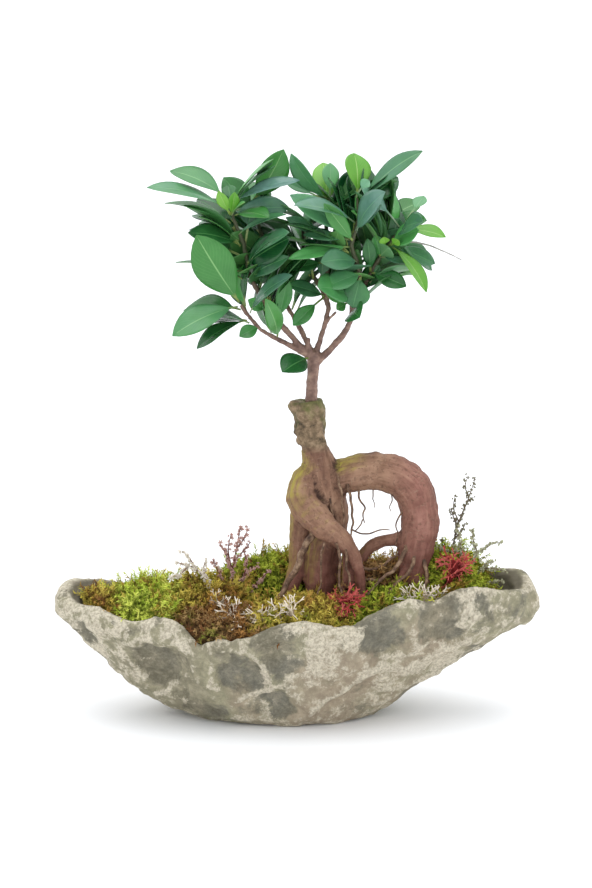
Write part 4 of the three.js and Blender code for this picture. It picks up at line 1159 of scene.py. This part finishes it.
def scatter_tree():
    """Covers the growing faces of a piece with leaning copies of a small shape, as one mesh."""
    tree, names, add, given = geometry_tree("scatter", {
        "Ground": "Geometry", "Shape": "Object", "Density": "Float", "Lean": "Float", "Smallest": "Float",
        "Largest": "Float", "Seed": "Int", "Finish": "Material", "Keep ground": "Bool",
    })
    growing = add("GeometryNodeInputNamedAttribute", {"data_type": "FLOAT"}, Name="grows")
    thick = scaled(add, growing.outputs["Attribute"], given["Density"])
    spots = add("GeometryNodeDistributePointsOnFaces", Mesh=given["Ground"], Density=thick,
        Seed=given["Seed"])
    shape = add("GeometryNodeObjectInfo", Object=given["Shape"])
    back = scaled(add, given["Lean"], -1.0)
    lowest = add("ShaderNodeCombineXYZ", X=back, Y=back)
    highest = add("ShaderNodeCombineXYZ", X=given["Lean"], Y=given["Lean"], Z=2 * math.pi)
    leaning = add("FunctionNodeRandomValue", {"data_type": "FLOAT_VECTOR"},
                  i0=lowest.outputs[0], i1=highest.outputs[0], Seed=given["Seed"])
    as_rotation = add("FunctionNodeEulerToRotation", i0=leaning.outputs[0])
    turned = add("FunctionNodeRotateRotation", {"rotation_space": "LOCAL"},
        Rotation=spots.outputs["Rotation"],
                 **{"Rotate By": as_rotation.outputs[0]})
    size = add("FunctionNodeRandomValue", {"data_type": "FLOAT"},
               i2=given["Smallest"], i3=given["Largest"], Seed=given["Seed"])
    copies = add("GeometryNodeInstanceOnPoints", Points=spots.outputs["Points"],
                 Instance=shape.outputs["Geometry"], Rotation=turned.outputs[0], Scale=size.outputs[1])
    tint = add("FunctionNodeRandomValue", {"data_type": "FLOAT"}, Seed=TINT_SEED)
    tinted = add("GeometryNodeStoreNamedAttribute", {"data_type": "FLOAT", "domain": "INSTANCE"},
                 Geometry=copies.outputs["Instances"], Name="tint", Value=tint.outputs[1])
    real = add("GeometryNodeRealizeInstances", Geometry=tinted.outputs["Geometry"])
    kept = add("GeometryNodeSwitch", {"input_type": "GEOMETRY"}, i0=given["Keep ground"], i2=given["Ground"])
    end_tree(add, [real.outputs["Geometry"], kept.outputs[0]], given["Finish"])
    return tree, names


SCATTER, SCATTER_INPUTS = scatter_tree()


def scatter(piece, **values):
    """The piece covered with copies of a shape, as one plain mesh."""
    modifier = piece.modifiers.new("scatter", "NODES")
    modifier.node_group = SCATTER
    for label, value in values.items():
        modifier[SCATTER_INPUTS[label.replace("_", " ")]] = value
    return settle(piece)


def moss_material(name, deep, middle, bright, dry_share):
    """Moss: dark at the foot of its stems, its own colour at the tips, with dried brown and green patches."""
    material, shader, add, link = new_material(name, 0.85, 0.2)
    object_place = add("ShaderNodeTexCoord").outputs["Object"]
    tip = marked(add, "tip")
    tint = marked(add, "tint")
    patches = noisy(add, object_place, 48.0, 3.0, 0.6)
    level = scaled(add, tint, 0.45, patches)
    own = ramp(add, level, [(0.35, middle), (0.95, bright)])
    dried = ramp(add, level, [(dry_share, 1), (dry_share + 0.1, 0)])
    dead = mix(add, tint, (0.22, 0.08, 0.025), (0.6, 0.38, 0.14))
    drifts = noisy(add, object_place, 34.0, 4.0, 0.65)
    drifted = scaled(add, tint, 0.2, drifts)
    rusty = mix(add, ramp(add, drifted, [(0.66, 0), (0.73, 0.8)]), own, (0.6, 0.28, 0.07))
    fresh = mix(add, ramp(add, drifted, [(0.46, 0.75), (0.54, 0)]), rusty, (0.2, 0.3, 0.02))
    mixed = mix(add, dried, fresh, dead)
    grown = mix(add, tip, deep, mixed)
    link(grown, shader.inputs["Base Color"])
    return material


rock_tree = kdtree.KDTree(len(bowl.data.vertices))
for rock_point in bowl.data.vertices:
    rock_tree.insert(rock_point.co, rock_point.index)
rock_tree.balance()


def bowl_room(places):
    """How far each place is from the bowl's skin, when that is nearby and no lower than the place."""
    rooms = np.ones(len(places))
    for i, place in enumerate(places):
        near, _, away = rock_tree.find(place)
        if near.z > place[2] - 0.002:
            rooms[i] = away
    return rooms


moss_finish = {name: moss_material(name, *look) for name, look in MOSS_LOOKS.items()}
moss_frond = frond("moss_frond", FROND_LENGTH, 0.0016, 9, 0.25, 3)
moss_nodes = sorted(name for name in frame["nodes"] if name.startswith("moss_"))
moss_strand = frond("moss_strand", FROND_LENGTH * 2.5, 0.0013, 12, 0.9, 8)
for order, node in enumerate(moss_nodes):
    cushion = skinned(node, node.replace("moss_", "cushion_"), MOSS_VOXEL, 3)
    places, normals = points_of(cushion.data)
    lumps = 0.0022 * noise_at(places, 85, 2, order) + 0.0008 * noise_at(places, 260, 2, order)
    facing_up = np.clip(normals[:, 2] * 2, 0, 1)
    sunk = np.clip((places[:, 2] - places[:, 2].min()) / 0.006, 0, 1)
    move_points(cushion.data, places + normals * ((lumps - 0.0012) * facing_up)[:, None])
    places, normals = points_of(cushion.data)
    wall_near = np.clip((bowl_room(places) - 0.002) / 0.003, 0, 1)
    store(cushion.data, "grows", np.clip(normals[:, 2] * 3 + 0.9, 0, 1) * sunk * wall_near)
    store(cushion.data, "tip", 0.15 + 0.35 * np.clip(noise_at(places, 200, 2, 3.0), 0, 1))
    store(cushion.data, "tint", 0.5 + 0.5 * noise_at(places, 120, 2, 8.0))
    slot = slot_of[node]
    finish = moss_finish.get(node, moss_finish[slot])
    strands = placed(cushion.name, cushion.data.copy())
    scatter(cushion, Shape=moss_frond, Density=FROND_DENSITY, Lean=0.75, Smallest=0.55, Largest=1.25,
        Seed=order + 1,
            Finish=finish, Keep_ground=True)
    scatter(strands, Shape=moss_strand, Density=STRAND_DENSITY, Lean=1.25, Smallest=0.5, Largest=1.1,
        Seed=order + 31,
            Finish=finish, Keep_ground=False)
    strands.name = node.replace("moss_", "strands_")
    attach(strands, "root")
    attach(cushion, "root")
    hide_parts(node)
bpy.data.objects.remove(moss_frond)
bpy.data.objects.remove(moss_strand)

# ------------------------------------------------------------------------------------------ lichen
# Tufts of reindeer lichen, preserved and coloured white or red, pushed into the moss: springy little
# bushes of hollow stems that fork and fork again.

ANTLER_LENGTH = 0.0052
TUFT_RADIUS = 0.0036
ANTLER_DENSITY = 170000.0
RED_HEIGHT = 2.2  # how much taller than round a red clump is


def tube(points, faces, tips, start, end, thick, thin, low, high, sides=4):
    """Adds a tapered tube with closed ends."""
    ahead = (end - start).normalized()
    side = ahead.orthogonal().normalized()
    other = ahead.cross(side)
    first = len(points)
    for place, radius, tip in ((start, thick, low), (end, thin, high)):
        for i in range(sides):
            turn = 2 * math.pi * i / sides
            points.append(place + (side * math.cos(turn) + other * math.sin(turn)) * radius)
            tips.append(tip)
    for i in range(sides):
        a, b = first + i, first + (i + 1) % sides
        faces.append((a, b, b + sides, a + sides))
    faces.append(tuple(range(first, first + sides))[::-1])
    faces.append(tuple(range(first + sides, first + 2 * sides)))


def antler(name, length, thickness, forks, seed):
    """A stem that forks in two again and again, each pair of arms shorter than the last."""
    dice = random.Random(seed)
    points, faces, tips = [], [], []

    def grow(start, heading, long, thick, level):
        end = start + heading * long
        low, high = level / (forks + 1), (level + 1) / (forks + 1)
        tube(points, faces, tips, start, end, thick, thick * 0.75, low, high, 3)
        if level == forks:
            return
        turn = dice.uniform(0, math.pi)
        side = heading.orthogonal().normalized()
        across = (side * math.cos(turn) + heading.cross(side) * math.sin(turn)).normalized()
        for sign in (-1, 1):
            arm = (heading + across * sign * dice.uniform(0.45, 0.85)).normalized()
            grow(end - heading * thick * 0.4, arm, long * dice.uniform(0.6, 0.85), thick * 0.8, level + 1)

    grow(Vector((0, 0, -0.2 * length)), Vector((0, 0, 1)), length, thickness, 0)
    return prototype(name, points, faces, tips)


def lichen_material(name, deep, pale, tipped):
    """Lichen: dull at the foot of its stems, dusted and paler at their ends."""
    material, shader, add, link = new_material(name, 0.9, 0.2)
    tip = marked(add, "tip")
    tint = marked(add, "tint")
    object_place = add("ShaderNodeTexCoord").outputs["Object"]
    dust = noisy(add, object_place, 500.0, 4.0, 0.7)
    stem = mix(add, tip, deep, pale)
    ends = mix(add, tint, stem, tipped)
    link(mix(add, dust, stem, ends), shader.inputs["Base Color"])
    frost = bump(add, dust, 0.4, 0.0003)
    link(frost, shader.inputs["Normal"])
    return material


lichen_finish = {
    "lichen_white": lichen_material("lichen_white", (0.4, 0.3, 0.2), (0.9, 0.8, 0.64), (1.0, 0.93, 0.85)),
    "lichen_red": lichen_material(
        "lichen_red", (0.16, 0.014, 0.014), (0.55, 0.07, 0.065), (0.75, 0.22, 0.19),
    ),
}
lichen_antler = antler("lichen_antler", ANTLER_LENGTH, 0.0006, 2, 12)
# Further clumps beside each tuft, as steps from its middle in millimetres and a share of its size.
TUFT_CLUMPS = {
    "lichen_white_front": [(0, 0, 1.0), (-9, 1, 0.7), (-19, 5, 0.8), (-27, 8, 0.6)],
    "lichen_white_left": [(0, 0, 1.0), (-6, 8, 0.8), (3, -8, 0.7), (-14, 14, 0.7)],
    "lichen_white_right": [(0, 0, 0.9), (-9, -2, 0.7), (8, 5, 0.8)],
    "lichen_red_front": [(-1, 6, 0.95), (3, 9, 0.75), (-4, 9, 0.7)],
    "lichen_red_right": [(9, 1, 0.95), (13, 3, 0.75), (6, -2, 0.7)],
}
cushion_tops = [points_of(bpy.data.objects[node.replace("moss_", "cushion_")].data)[0] for node in moss_nodes]
ground = np.concatenate([tops[::3] for tops in cushion_tops])
for order, (node, clumps) in enumerate(TUFT_CLUMPS.items()):
    low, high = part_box(node)
    surface = bmesh.new()
    for dx, dy, share in clumps:
        x, y = (low[0] + high[0]) / 2 + dx * 0.001, (low[1] + high[1]) / 2 + dy * 0.001
        near = ground[np.hypot(ground[:, 0] - x, ground[:, 1] - y) < 0.004]
        foot = np.percentile(near[:, 2], 85) - 0.003 if len(near) else low[2] + 0.008
        radius = TUFT_RADIUS * share
        tall_clump = RED_HEIGHT if "red" in node else 1.0
        middle = Matrix.Translation((x, y, foot + (0.4 + 0.9 * (tall_clump - 1)) * radius))
        at = middle @ Matrix.Diagonal((1, 1, tall_clump, 1))
        bmesh.ops.create_icosphere(surface, subdivisions=2, radius=radius, matrix=at)
    mesh = bpy.data.meshes.new(node)
    surface.to_mesh(mesh)
    surface.free()
    clump = placed(node.replace("lichen_", "tuft_"), mesh)
    places, normals = points_of(mesh)
    store(mesh, "grows", np.clip(normals[:, 2] * 1.5 + 0.5, 0, 1))
    store(mesh, "tip", np.zeros(len(places)))
    store(mesh, "tint", np.zeros(len(places)))
    scatter(clump, Shape=lichen_antler, Density=ANTLER_DENSITY, Lean=0.5, Smallest=0.6, Largest=1.3,
        Seed=order + 60,
            Finish=lichen_finish[slot_of[node]], Keep_ground=True)
    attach(clump, "root")
    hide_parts(node)
bpy.data.objects.remove(lichen_antler)

# ------------------------------------------------------------------------------------------ sprigs
# Dried flowering sprigs stuck in the soil: thin forking stems with tiny papery florets.

# Each sprig's stems in millimetres from its foot, with their radii; then its floret's size and spacing in
# millimetres, and its stem's and florets' colours.
SPRIGS = {
    "sprig_right_tall": (
        [
            [(0, 0, 2, 1.2), (-1, 0, 36, 1.1), (3, -2, 58, 1), (9, -3, 74, 0.9), (14, -3, 90, 0.7)],
            [(2, -2, 54, 0.9), (-1, -3, 62, 0.8), (-3, -4, 68, 0.7)],
            [(1, -1, 46, 0.9), (5, -4, 52, 0.8), (7, -6, 57, 0.7)], [(8, -3, 73, 0.8), (13, -2, 76, 0.7)],
        ],
        0.95, 0.9, (0.17, 0.12, 0.09), (0.27, 0.25, 0.16),
    ),
    "sprig_right_low": (
        [
            [(0, 0, 0, 1.1), (-3, 1, 20, 1), (-9, 2, 34, 0.9), (-17, 2, 44, 0.7)],
            [(-2, 1, 16, 0.9), (4, 0, 28, 0.8), (11, -1, 34, 0.7)],
            [(-6, 2, 28, 0.9), (0, 3, 38, 0.8), (6, 3, 42, 0.7)],
        ],
        1.2, 0.9, (0.22, 0.17, 0.11), (0.5, 0.5, 0.33),
    ),
    "sprig_left": (
        [
            [(0, 0, 4, 1.2), (1, -2, 34, 1), (4, -4, 52, 0.9), (7, -5, 68, 0.7)],
            [(1, -2, 36, 0.9), (-4, -4, 48, 0.8), (-8, -5, 56, 0.7)],
            [(2, -3, 42, 0.9), (9, -3, 50, 0.8), (14, -2, 56, 0.7)],
        ],
        1.3, 1.5, (0.16, 0.06, 0.05), (0.58, 0.36, 0.31),
    ),
    "twig_left": (
        [[(0, 0, 10, 1.3), (-6, 0, 30, 1.2), (-15, 1, 40, 1.1), (-27, 2, 44, 0.9)]], 1.4, 1.3,
        (0.3, 0.2, 0.15), (0.85, 0.75, 0.64),
    ),
}
STEM_SLIMNESS = 0.75  # the real stems are this share of the solid ones
# Finer side stems that only the real sprigs have.
SIDE_STEMS = {
    "sprig_right_tall": [
        [(-1, 0, 30, 0.8), (-6, -1, 38, 0.7), (-9, -2, 46, 0.5)],
        [(3, -2, 58, 0.8), (-1, -2, 68, 0.7), (0, -3, 78, 0.5)],
        [(10, -3, 76, 0.8), (7, -3, 84, 0.7), (9, -3, 92, 0.5)],
    ],
    "sprig_right_low": [
        [(-9, 2, 34, 0.8), (-13, 1, 48, 0.7), (-15, 0, 58, 0.5)],
        [(4, 0, 28, 0.8), (13, -2, 28, 0.7), (21, -3, 26, 0.5)],
        [(0, 3, 38, 0.8), (-3, 2, 48, 0.7), (-4, 2, 56, 0.5)],
        [(-3, 1, 20, 0.8), (-14, 0, 24, 0.7), (-24, -1, 26, 0.5)],
        [(-13, 2, 40, 0.7), (-22, 2, 40, 0.6), (-30, 2, 44, 0.5)],
        [(6, 3, 42, 0.7), (12, 3, 46, 0.6), (17, 2, 46, 0.5)],
        [(-1, 0, 10, 0.9), (8, -4, 18, 0.8), (18, -6, 20, 0.6)],
    ],
    "sprig_left": [
        [(1, -2, 34, 0.9), (-2, -3, 50, 0.8), (0, -4, 62, 0.6)],
        [(4, -4, 52, 0.8), (10, -4, 60, 0.7), (12, -4, 68, 0.5)],
        [(0, -1, 20, 0.9), (9, -3, 30, 0.8), (19, -4, 40, 0.6)],
        [(0, -1, 22, 0.9), (-8, -3, 32, 0.8), (-13, -4, 44, 0.6)],
        [(0, 0, 14, 0.9), (14, -4, 22, 0.8), (27, -5, 36, 0.6)],
        [(9, -3, 30, 0.8), (11, -4, 40, 0.7), (10, -4, 48, 0.5)],
    ],
    "twig_left": [
        [(-6, 0, 30, 1.0), (-9, 0, 40, 0.8), (-7, 0, 48, 0.6)],
        [(-15, 1, 40, 0.9), (-19, 0, 48, 0.8), (-24, 0, 53, 0.5)],
        [(-20, 1, 42, 0.8), (-26, 0, 36, 0.7), (-32, 0, 34, 0.5)],
    ],
}


FLORET_JITTER = (0.0016, 0.0016, 0.001)
FLORET_TURN = (6.28, 6.28, 6.28)


def sprig_tree():
    """Round stems along curves, with florets scattered on them from a distance up."""
    tree, names, add, given = geometry_tree("sprig", {
        "Stems": "Geometry", "Floret": "Object", "Spacing": "Float", "Smallest": "Float", "Largest": "Float",
        "Bare below": "Float", "Seed": "Int", "Finish": "Material",
    })
    profile = add("GeometryNodeCurvePrimitiveCircle", Resolution=6, Radius=1.0)
    skin = add("GeometryNodeCurveToMesh", Curve=given["Stems"],
               **{"Profile Curve": profile.outputs["Curve"], "Fill Caps": True})
    if "Scale" in skin.inputs:
        tree.links.new(add("GeometryNodeInputRadius").outputs[0], skin.inputs["Scale"])
    spots = add("GeometryNodeCurveToPoints", {"mode": "LENGTH"}, Curve=given["Stems"],
        Length=given["Spacing"])
    parts = add("ShaderNodeSeparateXYZ", i0=add("GeometryNodeInputPosition").outputs[0])
    high = add("FunctionNodeCompare", {"data_type": "FLOAT", "operation": "GREATER_THAN"},
               i0=parts.outputs["Z"], i1=given["Bare below"])
    jitter = add("FunctionNodeRandomValue", {"data_type": "FLOAT_VECTOR"},
                 i0=tuple(-most for most in FLORET_JITTER), i1=FLORET_JITTER, Seed=given["Seed"])
    moved = add("GeometryNodeSetPosition", Geometry=spots.outputs["Points"], Offset=jitter.outputs[0])
    shape = add("GeometryNodeObjectInfo", Object=given["Floret"])
    turn = add("FunctionNodeRandomValue", {"data_type": "FLOAT_VECTOR"}, i1=FLORET_TURN, Seed=given["Seed"])
    size = add("FunctionNodeRandomValue", {"data_type": "FLOAT"}, i2=given["Smallest"], i3=given["Largest"])
    copies = add("GeometryNodeInstanceOnPoints", Points=moved.outputs["Geometry"], Selection=high.outputs[0],
                 Instance=shape.outputs["Geometry"], Rotation=turn.outputs[0], Scale=size.outputs[1])
    real = add("GeometryNodeRealizeInstances", Geometry=copies.outputs["Instances"])
    end_tree(add, [skin.outputs["Mesh"], real.outputs["Geometry"]], given["Finish"])
    return tree, names


def curve_of(name, lines):
    """A curve of straight spans, from (points, radii) lines."""
    curve = bpy.data.curves.new(name, "CURVE")
    curve.dimensions = "3D"
    for line, radii in lines:
        spline = curve.splines.new("POLY")
        spline.points.add(len(line) - 1)
        for point, place, radius in zip(spline.points, line, radii):
            point.co = (*place, 1)
            point.radius = float(radius)
    return curve


def floret(name, radius):
    """A papery floret: petals as small closed darts round a middle."""
    points, faces, tips = [], [], []
    for i in range(5):
        turn = 2 * math.pi * i / 5
        out = Vector((math.cos(turn), math.sin(turn), 0.5)).normalized()
        tube(points, faces, tips, Vector((0, 0, 0)), out * radius, radius * 0.2, radius * 0.42, 1.0, 1.0, 3)
    tube(points, faces, tips, Vector((0, 0, -0.6 * radius)), Vector((0, 0, 0.5 * radius)), radius * 0.3,
        radius * 0.3, 0.6, 0.8, 3)
    return prototype(name, points, faces, tips)


def sprig_material(name, stem_colour, floret_colour):
    """A flecked stem, and florets of their own colour."""
    material, shader, add, link = new_material(name, 0.85, 0.2)
    tip = marked(add, "tip")
    object_place = add("ShaderNodeTexCoord").outputs["Object"]
    fleck = noisy(add, object_place, 380.0, 4.0, 0.7)
    stem = mix(add, fleck, tuple(0.45 * c for c in stem_colour), tuple(1.5 * c for c in stem_colour))
    petal = mix(add, fleck, tuple(0.6 * c for c in floret_colour),
        tuple(min(1, 1.25 * c) for c in floret_colour))
    link(mix(add, tip, stem, petal), shader.inputs["Base Color"])
    return material


SPRIG_TREE, SPRIG_INPUTS = sprig_tree()
for order, (node, (stems, petal, spacing, stem_colour, floret_colour)) in enumerate(SPRIGS.items()):
    rows = np.array([row for stem in stems for row in stem]) * 0.001
    low, high = (np.array(corner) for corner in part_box(node))
    foot = Vector(high - (rows[:, :3] + rows[:, 3:]).max(axis=0))
    lines = []
    for stem in stems + SIDE_STEMS[node]:
        line, radii = smooth_line(stem, lambda x, y, z: foot + Vector((x, y, z)) * 0.001, 4)
        tapers = [STEM_SLIMNESS * (1 - 0.45 * i / len(line)) for i in range(len(line))]
        lines.append((line, radii * tapers))
    name = node.replace("sprig_", "dried_sprig_").replace("twig_", "dried_twig_")
    sprig = placed(name, curve_of(node, lines))
    bloom = floret("floret", petal * 0.0011)
    modifier = sprig.modifiers.new("sprig", "NODES")
    modifier.node_group = SPRIG_TREE
    values = {
        "Floret": bloom, "Spacing": spacing * 0.001, "Smallest": 0.6, "Largest": 1.25, "Seed": order + 5,
        "Bare below": float(foot.z + 0.2 * (high[2] - low[2])),
        "Finish": sprig_material(node, stem_colour, floret_colour),
    }
    for label, value in values.items():
        modifier[SPRIG_INPUTS[label]] = value
    shape = plain_mesh(sprig)
    bpy.data.objects.remove(sprig)
    bpy.data.objects.remove(bloom)
    piece = placed(name, shape)
    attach(piece, "root")
    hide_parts(node)

# ------------------------------------------------------------------------------------------ hair roots
# Thin air roots that hang round the arch and off the trunk, and one dry bare twig end in the crown: wiry
# strands, some of them split where they touch the soil.

# Each strand's line and radius in millimetres from the planting point.
HAIR_ROOTS = [
    [(43, -5, 79, 0.9), (45, -6, 73, 0.8), (47.5, -7, 67, 0.7), (47, -7, 61, 0.6), (48.5, -7, 56, 0.4)],
    [(36, -6, 84, 1.1), (38.5, -7, 74, 1.0), (39, -8, 64, 0.9), (40, -9, 55, 0.8), (38, -10, 46, 0.6)],
    [(39, -8, 52, 0.7), (45, -8, 48.5, 0.6), (52, -7, 48, 0.6), (60, -5, 51, 0.5), (66, -4, 50, 0.4)],
    [(47, -7, 58, 0.5), (45, -7, 53, 0.5), (41, -8, 50, 0.4)],
    [(66, 0, 80, 0.6), (67.5, -3, 72, 0.5), (66.5, -4, 67, 0.4), (67.5, -4, 63, 0.3)],
    [(78, -6, 68, 0.7), (72, -8, 60, 0.6), (70.5, -9, 54, 0.5), (71.5, -9, 47, 0.4), (70, -9, 41, 0.4)],
    [(55, 0, 82, 0.6), (54, -2, 75, 0.5), (55.5, -3, 70, 0.4), (54.5, -3, 66, 0.3)],
    [(78, -14, 42, 1.8), (75, -18, 34, 1.5), (68, -20.5, 25, 1.3), (58, -22.5, 17, 1.1), (50, -25, 8, 0.9)],
    [(84, -16, 36, 1.6), (80, -20, 26, 1.3), (72, -23, 17, 1.1), (64, -26, 8, 0.9)],
    [(90, -15, 32, 1.6), (92, -19, 21, 1.3), (88, -22, 11, 1.0), (84, -24, 4, 0.8)],
    [(28, -27, 47, 1.1), (30.5, -27.5, 34, 1.0), (30, -27, 22, 0.9), (32, -27, 10, 0.8)],
    [(35, -27, 42, 1.0), (35, -27, 30, 0.9), (37.5, -26, 18, 0.8), (37, -26, 8, 0.7)],
    [(20, -28, 46, 0.8), (17, -27, 34, 0.8), (18, -26, 20, 0.7), (15, -26, 9, 0.6)],
    [
        (14, -15, 52, 2.6), (7, -16.5, 42, 2.5), (1, -17.5, 30, 2.3), (-3, -18, 20, 2.1),
        (-8, -19, 12, 1.9), (-13, -20, 5, 1.6),
    ],
    [(24, -12, 74, 0.8), (26, -13, 64, 0.7), (25, -15, 56, 0.6)],
    [(29, -9, 90, 0.9), (31, -11, 80, 0.8), (33, -11, 68, 0.8), (34, -12, 57, 0.7)],
    [(44, -12, 20, 1.4), (52, -14, 16, 1.2), (60, -15, 18, 1.1), (68, -14, 24, 1.0)],
    [(40, -12, 30, 1.2), (50, -12, 24, 1.1), (60, -11, 26, 1.0), (72, -9, 34, 0.9)],
]
DRY_END = [
    (66, 2, 249, 0.9), (77, -4, 254, 0.7), (92, -6, 252, 0.6), (104, -6, 247, 0.5), (114, -6, 242, 0.4),
]


def strands(name, rows_of_each, slot, material, wander):
    """Wiry strands as one closed mesh, each bent off its line a little."""
    lines = []
    for rows in rows_of_each:
        line, radii = smooth_line(rows, on_tree, 5)
        lines.append(([place + noise.noise_vector(place * 160) * wander for place in line], radii))
    curve = curve_of(name, lines)
    curve.bevel_depth = 1.0
    curve.bevel_resolution = 1
    curve.use_fill_caps = True
    strand_curve = placed(name, curve)
    mesh = plain_mesh(strand_curve)
    bpy.data.objects.remove(strand_curve)
    piece = placed(name, mesh)
    mesh.materials.clear()
    mesh.materials.append(material)
    mesh.polygons.foreach_set("use_smooth", [True] * len(mesh.polygons))
    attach(piece, "root")
    return piece


def flecked_bark(name, stops):
    """Dry bark in flecks of a few colours."""
    material, shader, add, link = new_material(name, 0.8)
    fleck = noisy(add, add("ShaderNodeTexCoord").outputs["Object"], 230.0, 5.0, 0.65)
    link(ramp(add, fleck, stops), shader.inputs["Base Color"])
    return material


hair = flecked_bark("hair_root_bark", [
    (0.35, (0.06, 0.03, 0.018)), (0.5, (0.17, 0.095, 0.055)), (0.68, (0.36, 0.24, 0.15))])
dry = flecked_bark("dry_end_bark", [(0.35, (0.22, 0.2, 0.17)), (0.68, (0.5, 0.48, 0.44))])
strands("hair_roots", HAIR_ROOTS, "root_bark", hair, 0.0016)
strands("dry_twig_end", [DRY_END], "shoot_bark", dry, 0.0008)
